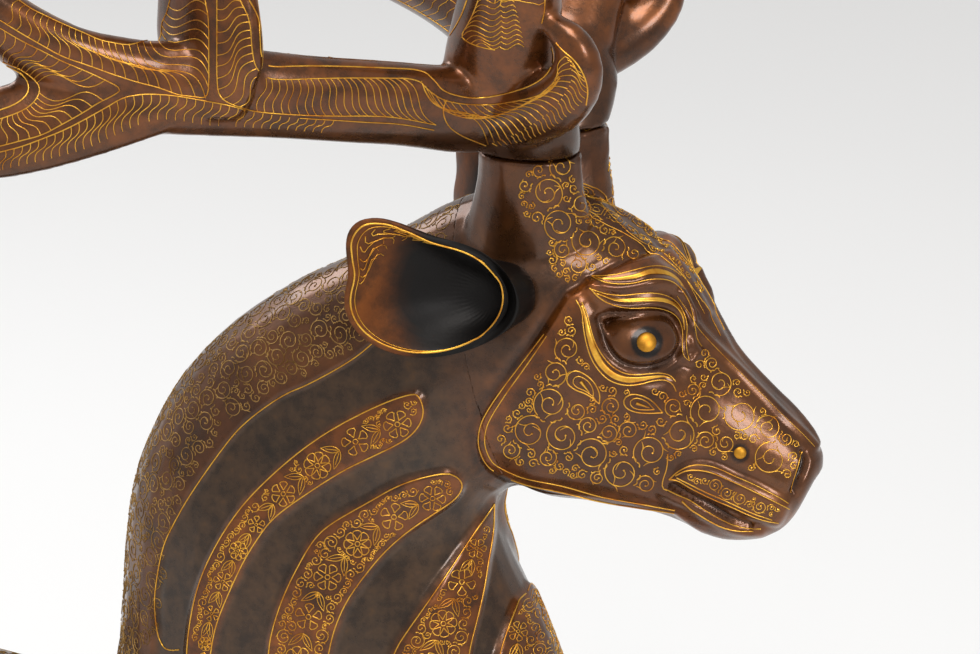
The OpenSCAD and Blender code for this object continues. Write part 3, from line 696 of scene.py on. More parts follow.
        (108.1, 495.5), (106.9, 493.3), (107.2, 490.1), (108.9, 487.3), (112.6, 485.1), (116.3, 483.8),
        (120, 482.6),
    ],
    "curl_midrib": [
        (120.6, 483.1), (124.4, 484), (130.2, 485.9), (137, 489.5), (140.6, 492.5), (143.2, 495.5),
        (145.2, 498.9), (145.8, 501.8), (144.9, 505.3), (142.8, 508),
    ],
    "curl_low": [
        (122.8, 482.5), (130.5, 483.2), (138, 485.5), (143.1, 488.7), (147.2, 492.1), (149.8, 494.9),
        (150.3, 498.3), (149.1, 501.2), (147.3, 503.8),
    ],
    "trunk_out": [(114.3, 524.5), (112.8, 520.8), (110.9, 517.7), (109, 515.5)],
    "trunk_l": [
        (117.7, 524.1), (116.4, 520.9), (114.6, 517.7), (112.4, 514.6), (114.3, 512.7), (118.2, 511),
        (122.8, 510),
    ],
    "trunk_mid": [(124.2, 523.7), (124.6, 518.2), (124.6, 512.7), (124, 510.5)],
    "trunk_r": [(128.4, 523.5), (129.9, 518.1), (131.2, 512.6), (132.2, 506.7)],
}


def round_off(corners):
    """A closed smooth curve through the middles of a polygon's sides."""
    points = []
    for k, corner in enumerate(corners):
        before, after = np.array(corners[k - 1]), np.array(corners[(k + 1) % len(corners)])
        a, b, c = (before + corner) / 2, np.array(corner), (after + corner) / 2
        points += [tuple(a * (1 - t) ** 2 + b * 2 * t * (1 - t) + c * t * t) for t in np.linspace(0, 1, 4)[:-1]]
    return points + points[:1]


def on_right(points):
    points = np.array(points, float)
    points[..., 1] = -np.abs(points[..., 1])
    return points


def drawn(points):
    """Drawing coordinates and depth of points on either side."""
    points = on_right(points)
    return np.stack([points @ DRAW_RIGHT, points @ DRAW_UP], axis=-1), points @ DRAW_OUT


def resample(path, step=None, count=None):
    """A smooth curve through drawn points, at even steps."""
    path = np.array(path, float)
    fine = []
    for i in range(len(path) - 1):
        a, b = path[max(i - 1, 0)], path[i]
        c, d = path[i + 1], path[min(i + 2, len(path) - 1)]
        for t in np.arange(8) / 8:
            fine.append(curve_point(a, b, c, d, t))
    fine = np.array(fine + [path[-1]])
    run = np.concatenate([[0], np.cumsum(np.linalg.norm(np.diff(fine, axis=0), axis=1))])
    if count is None:
        count = max(3, int(run[-1] / step) + 1)
    at = np.linspace(0, run[-1], count)
    return np.stack([np.interp(at, run, fine[:, k]) for k in range(fine.shape[1])], axis=1)


def soften(path):
    """Cut the corners of a line, and keep its ends."""
    points = np.array(path, float)
    early, late = points[:-1] * 0.75 + points[1:] * 0.25, points[:-1] * 0.25 + points[1:] * 0.75
    return np.vstack([points[:1], np.stack([early, late], 1).reshape(-1, points.shape[1]), points[-1:]])


def distance_to(path, uv):
    path = np.array(path, float)
    best = np.full(len(uv), 1e9)
    for a, b in zip(path[:-1], path[1:]):
        ab = b - a
        t = np.clip(((uv - a) @ ab) / max(ab @ ab, 1e-9), 0, 1)
        best = np.minimum(best, np.linalg.norm(uv - a - t[:, None] * ab, axis=1))
    return best


def depth_inside(outline, uv):
    """Distance to a closed outline, positive inside it."""
    ring = np.array(list(outline) + [outline[0]], float)
    far = distance_to(ring, uv)
    inside = np.zeros(len(uv), bool)
    for a, b in zip(ring[:-1], ring[1:]):
        crosses = (a[1] > uv[:, 1]) != (b[1] > uv[:, 1])
        at = a[0] + (uv[:, 1] - a[1]) * (b[0] - a[0]) / (b[1] - a[1] if b[1] != a[1] else 1e-9)
        inside ^= crosses & (uv[:, 0] < at)
    return np.where(inside, far, -far)


def bump(distance, half_width):
    return np.exp(-((distance / half_width) ** 2))


DORSAL_FIELD = DRAWING["dorsal"][:-3] + [
    (4, 300), (0, 270), (-60, 270), (-60, 500), (150, 500), (122, 462), (100, 440),
]
PLATE_FIELD = DRAWING["cheek_out"] + [
    (200, 352), (240, 372), (232, 400), (196, 432), (182, 452), (160, 444), (146, 436),
]
LIP_FIELD = DRAWING["lip_top"] + DRAWING["lip_low"][::-1]
BROW_LUMP = (184, -14, 493)
BROW_REACH = (12, 7, 9)
BROW_RISE = 3.4
EYE_HALF = (13.5, 10.5)
PUPIL_AT = (170.8, 421.3)
MUZZLE_STUD_AT = (201.6, 385.6)
NECK_BANDS = ("band_1", "band_2", "band_3", "band_4")
for band in NECK_BANDS:
    DRAWING[band] = round_off(DRAWING[band])


def seam_distance(points, seam):
    at, normal = seam_plane(seam, 1)
    return (points - np.array(at)) @ np.array(normal)


def neck_relief(points, uv):
    """Welts and channels of the neck: height to add, and how far each point lies in a channel."""
    raised = np.zeros(len(points))
    for name in NECK_BANDS:
        raised = np.maximum(raised, smooth_step(-1.6, 1.6, depth_inside(DRAWING[name], uv)))
    raised = np.maximum(raised, smooth_step(-1.6, 1.6, depth_inside(DORSAL_FIELD, uv)))
    height = bpy.context.scene.stag_figure.welt_height / MM
    fade = smooth_step(2, 16, seam_distance(points, CHEST_SEAM))
    reach = fade * (1 - smooth_step(-14, 8, seam_distance(points, NAPE_SEAM)))
    return (raised - 0.55) * height * reach, (1 - raised) * (0.25 + 0.75 * fade)


def head_relief(facing, uv):
    """Height to add along the normal for the carved face."""
    front = smooth_step(-0.05, 0.3, facing)
    d = {name: distance_to(resample(DRAWING[name], 1.2), uv) for name in (
        "brow_1_low", "brow_1_fill", "brow_2_up", "brow_2_fill", "brow_2_low", "under_eye_fill", "mouth",
        "chin_1", "nostril", "nostril_line", "bridge_edge", "crest_edge",
    )}
    roll = (resample(DRAWING["brow_1_low"], count=40) + resample(DRAWING["brow_2_up"], count=40)) / 2
    lift = 1.5 * bump(distance_to(roll, uv), 1.9)
    lift += 1.7 * bump(d["brow_2_low"], 1.5) + 0.5 * bump(d["brow_1_fill"], 1.8)
    lift -= 0.5 * bump(d["brow_1_low"], 0.8) + 0.6 * bump(d["brow_2_up"], 0.8)
    socket = depth_inside(resample(DRAWING["eye_almond"] + DRAWING["eye_almond"][:1], 1.2), uv)
    lift -= 2.0 * bump(socket + 1.3, 1.3) * smooth_step(416, 424, uv[:, 1])
    lift -= 1.2 * bump(socket + 1.0, 1.2) * (1 - smooth_step(416, 424, uv[:, 1]))
    lift += 0.7 * bump(d["under_eye_fill"], 1.8)
    lift -= 0.9 * bump(socket + 5, 2.2) * (1 - smooth_step(414, 422, uv[:, 1]))
    plate = depth_inside(PLATE_FIELD, uv)
    lift += 1.2 * smooth_step(-1.0, 1.2, plate) * (1 - 0.7 * smooth_step(8, 24, plate))
    lift -= 0.9 * bump(plate + 2.2, 1.8) * smooth_step(360, 372, uv[:, 1])
    lift += 0.8 * bump(d["bridge_edge"], 1.1) - 0.5 * bump(np.abs(d["bridge_edge"] - 2.4), 1.2)
    lip = depth_inside(resample(LIP_FIELD, 1.5), uv)
    lift += 1.3 * smooth_step(-1.2, 1.8, lip)
    lift -= 0.7 * bump(lip + 2.2, 1.6) * smooth_step(374, 382, uv[:, 1] + 0.3 * (uv[:, 0] - 190))
    lift += 1.2 * bump(d["chin_1"], 2.0) - 2.6 * bump(d["mouth"], 0.95)
    lift += 0.6 * bump(d["nostril_line"], 0.9) - 2.6 * bump(d["nostril"], 1.25)
    lift += 0.9 * bump(d["crest_edge"], 1.6)
    return lift * front, socket, front


def carve(piece):
    """Press the relief of neck and face into the smooth skin, and note the patina and the painted shade of each
    point.
    """
    points, normal = coords(piece), normals(piece)
    uv = drawn(points)[0]
    outward = normal.copy()
    outward[:, 1] *= np.where(points[:, 1] > 0, -1, 1)
    facing = outward @ DRAW_OUT
    welt, channel = neck_relief(points, uv)
    lift, socket, front = head_relief(facing, uv)
    lift += BROW_RISE * bump(np.linalg.norm((on_right(points) - BROW_LUMP) / BROW_REACH, axis=1), 1)
    moved = points + normal * (welt + lift)[:, None]
    centre, reach = drawn(np.array([[EYE[0], -EYE[1], EYE[2]]]))
    du, dv = (uv[:, 0] - centre[0, 0] + 0.8) / EYE_HALF[0], (uv[:, 1] - centre[0, 1]) / EYE_HALF[1]
    ball = reach[0] + EYE_R * np.sqrt(np.clip(1 - du ** 2 - dv ** 2, 0.02, 1))
    toward = DRAW_OUT * np.where(points[:, 1:2] > 0, (1, -1, 1), (1, 1, 1))
    weight = smooth_step(-0.5, 1.1, socket) * front
    moved += toward * ((ball - drawn(moved)[1]) * weight)[:, None]
    set_coords(piece, moved)
    warm = 0.25 + 0.75 * bump(np.abs(depth_inside(PLATE_FIELD, uv)), 5)
    for name in NECK_BANDS:
        warm = np.maximum(warm, smooth_step(-4, 0.5, depth_inside(DRAWING[name], uv)) * 0.85)
    iris = np.linalg.norm(uv - PUPIL_AT, axis=1)
    stud = np.linalg.norm(uv - MUZZLE_STUD_AT, axis=1)
    # Painted shade: the deeper the relief is pressed in, the darker; dark rings round the pupils and the muzzle
    # studs join the same mask.
    painted_shade = np.clip(-lift / 1.8, 0, 1)
    rings = np.maximum(0.95 * smooth_step(5.4, 4.7, iris), 0.8 * smooth_step(3.5, 2.8, stud))
    painted_shade = np.maximum(painted_shade, rings * front)
    on_neck = 1 - smooth_step(-22, 2, seam_distance(points, NAPE_SEAM))
    plate = smooth_step(-2.5, 0.5, depth_inside(PLATE_FIELD, uv))
    cool = np.clip(channel * on_neck + 0.5 * (1 - plate) * (1 - on_neck) * smooth_step(470, 440, uv[:, 1]), 0, 1)
    paint_patina_and_shade(piece, warm, cool, painted_shade)


def paint_patina_and_shade(piece, warm, cool, painted_shade):
    """Keep warmth and coolness of the patina, and the painted shade, as a point attribute."""
    count = len(piece.data.vertices)
    values = np.ones((count, 4), np.float32)
    for k, value in enumerate((warm, cool, painted_shade)):
        values[:, k] = value
    # The attribute is named patina, but its blue channel holds the painted shade.
    layer = piece.data.attributes.new("patina", "FLOAT_COLOR", "POINT")
    layer.data.foreach_set("color", values.ravel())


# ---- gold inlay: where the wire runs ---------------------------------------------------
class Surface:
    """A finished skin that wire is laid on."""

    def __init__(self, *pieces):
        points, faces = [], []
        for piece in pieces:
            start = len(points)
            points += [tuple(p) for p in coords(piece) / MM]
            faces += [tuple(i + start for i in polygon.vertices) for polygon in piece.data.polygons]
        self.tree = BVHTree.FromPolygons(points, faces)

    def lay(self, origins, way, lift=0.04, reach=900, steep=0.12):
        """Runs of points where rays meet the skin, broken where it turns too far away or drops off."""
        runs, run, last = [], [], None
        way = Vector(way)
        for origin in origins:
            point, normal, _, far = self.tree.ray_cast(Vector(origin), way, reach)
            good = point is not None and -normal.dot(way) > steep and (last is None or abs(far - last) < 4)
            good = good and point.y * origin[1] > 0
            if good:
                run.append(tuple(point + normal * lift))
                last = far
            else:
                if len(run) > 2:
                    runs.append(run)
                run, last = [], None
        if len(run) > 2:
            runs.append(run)
        return runs

    def lay_drawn(self, path, side, lift=0.04, steep=0.12):
        """Lay a drawn path on the right side, or its mirror on the left."""
        flip = np.array((1, 1 if side < 0 else -1, 1))
        origins = [(p[0] * DRAW_RIGHT + p[1] * DRAW_UP + 500 * DRAW_OUT) * flip for p in path]
        return self.lay(origins, -DRAW_OUT * flip, lift, steep=steep)


class Wirework:
    """Gold wire gathered into one curve: runs of points with a radius at each end."""

    def __init__(self):
        self.runs = []

    def add(self, points, radius, tail=None):
        tail = radius if tail is None else tail
        self.runs.append((points, np.linspace(radius, tail, len(points))))

    def add_drawn(self, surface, path, side, radius, tail=None, step=1.1):
        path = soften(path)
        for run in surface.lay_drawn(resample(path, step), side):
            self.add(run, radius, tail)

    def build(self, name):
        curve = bpy.data.curves.new(name, "CURVE")
        curve.dimensions = "3D"
        curve.bevel_depth = MM
        curve.bevel_resolution = 0
        curve.use_fill_caps = True
        for points, radii in self.runs:
            spline = curve.splines.new("POLY")
            spline.points.add(len(points) - 1)
            flat = np.ones((len(points), 4), np.float32)
            flat[:, :3] = np.array(points) * MM
            spline.points.foreach_set("co", flat.ravel())
            spline.points.foreach_set("radius", np.array(radii, np.float32))
        piece = bpy.data.objects.new(name, curve)
        bpy.context.scene.collection.objects.link(piece)
        graph = bpy.context.evaluated_depsgraph_get()
        mesh = bpy.data.meshes.new_from_object(piece.evaluated_get(graph))
        bpy.data.objects.remove(piece)
        bpy.data.curves.remove(curve)
        made = bpy.data.objects.new(name, mesh)
        mesh.name = name
        bpy.context.scene.collection.objects.link(made)
        return made


def spiral(centre, radius, start, hand, turns):
    """A tendril that winds in from its rim."""
    count = max(9, int(radius * 7))
    points = []
    for k in range(count + 1):
        f = k / count
        angle = start + hand * 2 * math.pi * turns * f
        r = radius * (1 - 0.85 * f ** 1.15)
        points.append((centre[0] + r * math.cos(angle), centre[1] + r * math.sin(angle)))
    return points


def grow_scrolls(rng, region, sizes, obstacles=(), tries=16):
    """Touching circles that fill a region, each grown from an earlier one: (centre, radius, parent, hand)."""
    ring = np.array(region, float)
    low, high = ring.min(0), ring.max(0)
    fence = np.array(list(region) + [region[0]], float)
    a, b = fence[:-1], fence[1:]
    ab = b - a
    length = np.maximum((ab * ab).sum(1), 1e-9)

    def room(p):
        p = np.array(p)
        t = np.clip(((p - a) * ab).sum(1) / length, 0, 1)
        far = np.linalg.norm(p - a - t[:, None] * ab, axis=1).min()
        crosses = (a[:, 1] > p[1]) != (b[:, 1] > p[1])
        at = a[:, 0] + (p[1] - a[:, 1]) * ab[:, 0] / np.where(ab[:, 1] == 0, 1e-9, ab[:, 1])
        return far if (crosses & (p[0] < at)).sum() % 2 else -far

    grown = []
    taken = np.array([(*o,) for o in obstacles], float).reshape(-1, 3)

    def fits(p, r):
        if room(p) < r * 0.95 + 0.1:
            return False
        return not len(taken) or (np.hypot(taken[:, 0] - p[0], taken[:, 1] - p[1]) - taken[:, 2]).min() > r * 0.86

    for seed in range(40):
        for _ in range(60):
            p = (rng.uniform(low[0], high[0]), rng.uniform(low[1], high[1]))
            r = sizes[0] if seed < 8 else sizes[-1] if seed > 20 else sizes[len(sizes) // 2]
            if fits(p, r):
                grown.append((p, r, None, rng.choice((-1, 1))))
                taken = np.vstack([taken, (*p, r)])
                break
        else:
            continue
        front = [len(grown) - 1]
        while front:
            index = front.pop(0)
            centre, radius, _, hand = grown[index]
            for r in sizes:
                for _ in range(tries):
                    angle = rng.uniform(0, 2 * math.pi)
                    p = (centre[0] + (radius + r) * math.cos(angle), centre[1] + (radius + r) * math.sin(angle))
                    if fits(p, r):
                        grown.append((p, r, index, -hand))
                        taken = np.vstack([taken, (*p, r)])
                        front.append(len(grown) - 1)
    return grown


def scroll_strokes(rng, grown, wire):
    """Paths and radii for tendrils, their buds and their leaves."""
    strokes = []
    for centre, radius, parent, hand in grown:
        if parent is None:
            start = rng.uniform(0, 2 * math.pi)
        else:
            other = grown[parent][0]
            start = math.atan2(other[1] - centre[1], other[0] - centre[0])
            joint = np.array((centre[0] + radius * math.cos(start), centre[1] + radius * math.sin(start)))
            over = np.array((-math.sin(start), math.cos(start)))
            for sign in (-1, 1):
                reach = min(radius, 3.2) * 0.62
                turn = np.array((math.cos(start), math.sin(start))) * reach * 0.3
                bud = [joint + over * sign * reach * f - turn * math.sin(math.pi * f) for f in (0.15, 0.4, 0.7, 1)]
                strokes.append(([tuple(p) for p in bud], wire * 0.8, wire * 1.3))
        r = radius * 0.98
        turns = 1.7 if radius > 2.2 else 1.25
        path = spiral(centre, r, start, hand, turns)
        strokes.append((path, wire, wire * 0.75))
        tip = path[-1]
        strokes.append(([tip, (tip[0] + 0.18, tip[1] + 0.1), (tip[0] + 0.36, tip[1] + 0.2)], wire * 1.7, wire * 1.1))
        for where in ((0.16, 0.34, 0.52, 0.7) if radius > 3.4 else (0.22, 0.5) if radius > 2 else (0.35,)):
            k = int(where * (len(path) - 1))
            angle = start + hand * 2 * math.pi * turns * where
            base = np.array(path[k])
            out = np.array((math.cos(angle), math.sin(angle)))
            along = np.array((-out[1], out[0])) * hand
            sign = 1 if rng.random() < 0.75 else -1
            leaf = radius * rng.uniform(0.3, 0.42)
            bend = [base + along * leaf * f + out * sign * leaf * 0.9 * f ** 1.6 for f in (0, 0.35, 0.7, 1)]
            strokes.append(([tuple(p) for p in bend], wire * 1.25, wire * 0.35))
    return strokes


def flower(centre, radius, turn, petals=6):
    """Outline strokes of an open flower."""
    strokes = []
    for k in range(petals):
        angle = turn + 2 * math.pi * k / petals
        loop = []
        for f in np.linspace(0, 1, 9):
            swing = math.sin(2 * math.pi * f) * 0.42
            reach = radius * (0.3 + 0.7 * math.sin(math.pi * f) ** 0.7)
            loop.append((centre[0] + reach * math.cos(angle + swing), centre[1] + reach * math.sin(angle + swing)))
        strokes.append(loop)
    turns = np.linspace(0, 2 * math.pi, 9)
    strokes.append([(centre[0] + radius * 0.2 * math.cos(t), centre[1] + radius * 0.2 * math.sin(t)) for t in turns])
    return strokes


def leaf_strokes(base, tip, width):
    """A pointed leaf with a midrib."""
    base, tip = np.array(base, float), np.array(tip, float)
    side = np.array((-(tip - base)[1], (tip - base)[0])) / np.linalg.norm(tip - base)
    fs = np.linspace(0, 1, 7)
    edges = [
        [tuple(base + (tip - base) * f + side * s * width * math.sin(math.pi * f ** 0.8)) for f in fs]
        for s in (-1, 1)
    ]
    return edges + [[tuple(base + (tip - base) * f) for f in (0.1, 0.4, 0.75)]]


def outline_inset(outline, gap):
    """A closed outline moved inwards by a gap."""
    ring = resample(list(outline) + [outline[0]], 1.5)[:-1]
    ahead, behind = np.roll(ring, -1, 0), np.roll(ring, 1, 0)
    along = ahead - behind
    side = np.stack([-along[:, 1], along[:, 0]], 1) / np.maximum(np.linalg.norm(along, axis=1), 1e-9)[:, None]
    if depth_inside(outline, ring + side * 0.3).mean() < depth_inside(outline, ring - side * 0.3).mean():
        side = -side
    moved = ring + side * gap
    keep = depth_inside(outline, moved) > gap * 0.75
    return [tuple(p) for p in moved[keep]]


def ribs(first, second, count, sway, ends=(0.02, 0.98), lean=0.0):
    """S-curved feather ribs from one guide line to another."""
    a, b = resample(first, count=120), resample(second, count=120)
    strokes = []
    for k in range(count):
        t = ends[0] + (ends[1] - ends[0]) * k / max(count - 1, 1)
        p = a[int(t * 119)]
        q = b[int(np.clip(t + lean, 0, 1) * 119)]
        side = np.array((-(q - p)[1], (q - p)[0]))
        fs = np.linspace(0, 1, 9)
        strokes.append([tuple(p + (q - p) * f + side * sway * math.sin(2 * math.pi * f)) for f in fs])
    return strokes


# ---- finishes ------------------------------------------------------------------------------
def add_node(tree, kind, settings=None, links=None, stops=None):
    """Add a shader node with its settings, its input values or links, and its colour stops."""
    node = tree.nodes.new(kind)
    for key, value in (settings or {}).items():
        setattr(node, key, value)
    for key, value in (links or {}).items():
        if isinstance(value, bpy.types.NodeSocket):
            tree.links.new(value, node.inputs[key])
        else:
            node.inputs[key].default_value = value
    if stops:
        elements = node.color_ramp.elements
        (elements[0].position, elements[0].color), (elements[1].position, elements[1].color) = stops[0], stops[-1]
        for position, colour in stops[1:-1]:
            elements.new(position).color = colour
    return node


def new_material(name):
    material = bpy.data.materials.new(name)
    material.use_nodes = True
    tree = material.node_tree
    tree.nodes.clear()
    return material, tree, tree.nodes.new("ShaderNodeOutputMaterial")


# Inputs of a colour Mix node and its colour output.
MIX_FACTOR, MIX_FIRST, MIX_SECOND, MIX_RESULT = 0, 6, 7, 2
MIX_COLOUR = {"data_type": "RGBA"}


def patinated_bronze(name="patinated_cast_bronze_waxed", wax=0.28, dull=0.0):
    """Hot-patinated, waxed cast bronze: brown with rust-warm clouds, greyer where it is rubbed less, with painted
    shade near-black in the hollows.
    """
    material, tree, output = new_material(name)
    place = add_node(tree, "ShaderNodeTexCoord").outputs["Object"]
    masks = add_node(tree, "ShaderNodeAttribute", {"attribute_name": "patina"}).outputs["Color"]
    split = add_node(tree, "ShaderNodeSeparateColor", links={"Color": masks})
    # Clouds of patina some 25 mm across, broken by streaks of 6 mm and a casting grain of 1 mm.
    cloud = add_node(tree, "ShaderNodeTexNoise", links={
        "Vector": place, "Scale": 40, "Detail": 5, "Roughness": 0.6, "Distortion": 0.4,
    })
    streak = add_node(tree, "ShaderNodeTexNoise", links={
        "Vector": place, "Scale": 160, "Detail": 6, "Roughness": 0.65,
    }).outputs["Fac"]
    grain = add_node(tree, "ShaderNodeTexNoise", links={"Vector": place, "Scale": 900, "Detail": 3})
    brown = add_node(tree, "ShaderNodeValToRGB", links={"Fac": cloud.outputs["Fac"]}, stops=[
        (0.3, shade("brown_dark")), (0.5, shade("brown_mid")), (0.7, shade("brown_light")),
    ])
    rust = add_node(tree, "ShaderNodeValToRGB", links={"Fac": streak}, stops=[
        (0.35, shade("rust_dark")), (0.6, shade("rust_light")),
    ])
    warmth = add_node(tree, "ShaderNodeMath", {"operation": "MULTIPLY"}, {
        0: split.outputs["Red"], 1: cloud.outputs["Fac"],
    })
    spread = add_node(tree, "ShaderNodeMath", {"operation": "MULTIPLY", "use_clamp": True}, {
        0: warmth.outputs[0], 1: 1.15,
    })
    warmed = add_node(tree, "ShaderNodeMix", MIX_COLOUR, {
        MIX_FACTOR: spread.outputs[0], MIX_FIRST: brown.outputs["Color"], MIX_SECOND: rust.outputs["Color"],
    })
    cool = add_node(tree, "ShaderNodeMapRange", links={"Value": split.outputs["Green"], "To Max": 0.86})
    grey = add_node(tree, "ShaderNodeValToRGB", links={"Fac": streak}, stops=[
        (0.35, shade("channel_dark")), (0.6, shade("channel_mid")), (0.75, shade("channel_light")),
    ])
    cooled = add_node(tree, "ShaderNodeMix", MIX_COLOUR, {
        MIX_FACTOR: cool.outputs["Result"], MIX_FIRST: warmed.outputs[MIX_RESULT],
        MIX_SECOND: grey.outputs["Color"],
    })
    # Painted shade: the blue channel of the patina attribute mixes in the near-black painted-shade colour.
    base = add_node(tree, "ShaderNodeMix", MIX_COLOUR, {
        MIX_FACTOR: split.outputs["Blue"], MIX_FIRST: cooled.outputs[MIX_RESULT], MIX_SECOND: shade("painted_shade"),
    })
    rough = add_node(tree, "ShaderNodeMapRange", links={
        "Value": streak, "To Min": 0.2 + dull, "To Max": 0.36 + dull,
    })
    relief = add_node(tree, "ShaderNodeBump", links={
        "Strength": 0.12, "Distance": 0.0004, "Height": grain.outputs["Fac"],
    })
    skin = add_node(tree, "ShaderNodeBsdfPrincipled", links={
        "Base Color": base.outputs[MIX_RESULT], "Metallic": 0.66, "Roughness": rough.outputs["Result"],
        "Normal": relief.outputs["Normal"], "Coat Weight": wax, "Coat Roughness": 0.13,
    })
    tree.links.new(skin.outputs[0], output.inputs[0])
    return material


def gold_finish(name, bright, deep, roughness):
    """Gold laid into the bronze and burnished; it reddens where it is rubbed thin."""
    material, tree, output = new_material(name)
    place = add_node(tree, "ShaderNodeTexCoord").outputs["Object"]
    # Wear changes over some 10 mm, with specks of 1 mm.
    wear = add_node(tree, "ShaderNodeTexNoise", links={
        "Vector": place, "Scale": 90, "Detail": 6, "Roughness": 0.7,
    }).outputs["Fac"]
    colour = add_node(tree, "ShaderNodeValToRGB", links={"Fac": wear}, stops=[
        (0.36, shade(deep)), (0.56, shade(bright)),
    ])
    rough = add_node(tree, "ShaderNodeMapRange", links={
        "Value": wear, "To Min": roughness + 0.12, "To Max": roughness - 0.06,
    })
    skin = add_node(tree, "ShaderNodeBsdfPrincipled", links={
        "Base Color": colour.outputs["Color"], "Metallic": 1.0, "Roughness": rough.outputs["Result"],
    })
    tree.links.new(skin.outputs[0], output.inputs[0])
    return material


def plain_metal(name, light, dark, roughness, scale):
    """Turned or sawn metal with fine tool marks."""
    material, tree, output = new_material(name)
    place = add_node(tree, "ShaderNodeTexCoord").outputs["Object"]
    marks = add_node(tree, "ShaderNodeTexNoise", links={
        "Vector": place, "Scale": scale, "Detail": 4, "Roughness": 0.6,
    }).outputs["Fac"]
    colour = add_node(tree, "ShaderNodeValToRGB", links={"Fac": marks}, stops=[
        (0.35, shade(dark)), (0.62, shade(light)),
    ])
    relief = add_node(tree, "ShaderNodeBump", links={"Strength": 0.15, "Distance": 0.0003, "Height": marks})
    skin = add_node(tree, "ShaderNodeBsdfPrincipled", links={
        "Base Color": colour.outputs["Color"], "Metallic": 1.0, "Roughness": roughness,
        "Normal": relief.outputs["Normal"],
    })
    tree.links.new(skin.outputs[0], output.inputs[0])
    return material


def wool_felt():
    """Pressed wool felt: matt, with fibres drawn 0.7 mm wide so that they show."""
    material, tree, output = new_material("pressed_wool_felt_green")
    place = add_node(tree, "ShaderNodeTexCoord").outputs["Object"]
    fibre = add_node(tree, "ShaderNodeTexNoise", links={
        "Vector": place, "Scale": 1500, "Detail": 6, "Roughness": 0.7,
    }).outputs["Fac"]
    colour = add_node(tree, "ShaderNodeValToRGB", links={"Fac": fibre}, stops=[
        (0.3, shade("felt_dark")), (0.7, shade("felt_light")),
    ])
    relief = add_node(tree, "ShaderNodeBump", links={"Strength": 0.5, "Distance": 0.0005, "Height": fibre})
    skin = add_node(tree, "ShaderNodeBsdfPrincipled", links={
        "Base Color": colour.outputs["Color"], "Roughness": 0.95, "Sheen Weight": 0.3,
        "Normal": relief.outputs["Normal"],
    })
    tree.links.new(skin.outputs[0], output.inputs[0])
    return material


MADE = {}


def material_for(name):
    """Each finish is made once, when a piece first asks for it."""
    if name not in MADE:
        MADE[name] = {
            "bronze": patinated_bronze,
            "ear bronze": lambda: patinated_bronze("patinated_cast_bronze_unwaxed", 0.0, 0.2),
            "gold": lambda: gold_finish("inlaid_gold_burnished", "gold_light", "gold_dark", 0.3),
            "burnished gold": lambda: gold_finish("solid_gold_burnished", "solid_light", "solid_dark", 0.42),
            "dim gold": lambda: gold_finish("inlaid_gold_rubbed_thin", "worn_light", "worn_dark", 0.42),
            "steel": lambda: plain_metal("turned_steel", "steel_light", "steel_dark", 0.32, 500),
            "raw bronze": lambda: plain_metal("raw_cast_bronze", "raw_light", "raw_dark", 0.5, 300),
            "felt": wool_felt,
        }[name]()
    return MADE[name]


def finish_piece(piece, body, finish, replaces=(), scale=MM):
    """Put a piece in metres, give it its finish, hang it on what it rides on and hide the parts it stands for."""
    if scale != 1:
        piece.data.transform(Matrix.Diagonal((scale, scale, scale, 1)))
    piece.data.materials.clear()
    piece.data.materials.append(material_for(finish))
    for polygon in piece.data.polygons:
        polygon.use_smooth = True
    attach(piece, body)
    if replaces:
        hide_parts(*replaces)
    return piece


# ---- gold inlay: the patterns ----------------------------------------------------------
# Widths in millimetres along the three broad gold strokes around the eye.
BROAD_STROKES = {
    "brow_1_fill": (0.4, 0.6, 1.0, 1.4, 1.75, 1.75, 1.2, 0.6, 0.3),
    "brow_2_fill": (0.3, 0.55, 0.95, 1.25, 1.35, 1.35, 1.2, 0.8, 0.5, 0.3),
    "under_eye_fill": (0.5, 1.0, 1.5, 1.9, 2.1, 2.0, 2.0, 1.85, 1.2, 0.7, 0.3),
}


def ribbon(bm, surface, path, widths, side):
    """A flat strip of gold sheet hammered into the surface, thin at both ends."""
    centre = resample(path, 0.9)
    width = np.interp(np.linspace(0, 1, len(centre)), np.linspace(0, 1, len(widths)), widths)
    along = np.gradient(centre, axis=0)
    across = np.stack([-along[:, 1], along[:, 0]], 1) / np.linalg.norm(along, axis=1)[:, None]
    flip = np.array((1, 1 if side < 0 else -1, 1))
    rows = []
    for c, a, w in zip(centre, across, width):
        drawing = np.array((DRAW_RIGHT, DRAW_UP))
        origins = [((c + a * w * k / 4) @ drawing + 500 * DRAW_OUT) * flip for k in (-2, -1, 0, 1, 2)]
        hits = [surface.tree.ray_cast(Vector(o), Vector(-DRAW_OUT * flip)) for o in origins]
        if all(h[0] is not None for h in hits):
            rows.append([h[0] + h[1] * 0.12 for h in hits])
    made = bmesh.ops.create_grid(bm, x_segments=len(rows) - 1, y_segments=4, size=1)["verts"]
    made.sort(key=lambda v: (round(v.co.x, 4), v.co.y))
    for k, vert in enumerate(made):
        vert.co = rows[k // 5][k % 5]
    faces = list({f for v in made for f in v.link_faces})
    bmesh.ops.recalc_face_normals(bm, faces=faces)
    bmesh.ops.solidify(bm, geom=faces, thickness=0.3)


def dome(bm, surface, spot, radius, rise, side):
    """A low gold dome with a rolled edge, let into the surface."""
    flip = np.array((1, 1 if side < 0 else -1, 1))
    start = (np.array(spot) @ np.array((DRAW_RIGHT, DRAW_UP)) + 500 * DRAW_OUT) * flip
    hit, normal, _, _ = surface.tree.ray_cast(Vector(start), Vector(-DRAW_OUT * flip))
    made = bmesh.ops.create_uvsphere(bm, u_segments=40, v_segments=24, radius=radius)["verts"]
    for vert in made:
        vert.co.z *= rise / radius
    turn = normal.to_track_quat("Z", "Y").to_matrix()
    bmesh.ops.rotate(bm, verts=made, cent=(0, 0, 0), matrix=turn)
    bmesh.ops.translate(bm, verts=made, vec=hit - normal * rise * 0.25)


def mirror_runs(wires):
    """Repeat the right side's wire on the left."""
    wires.runs += [([(x, -y, z) for x, y, z in points], radii) for points, radii in wires.runs]


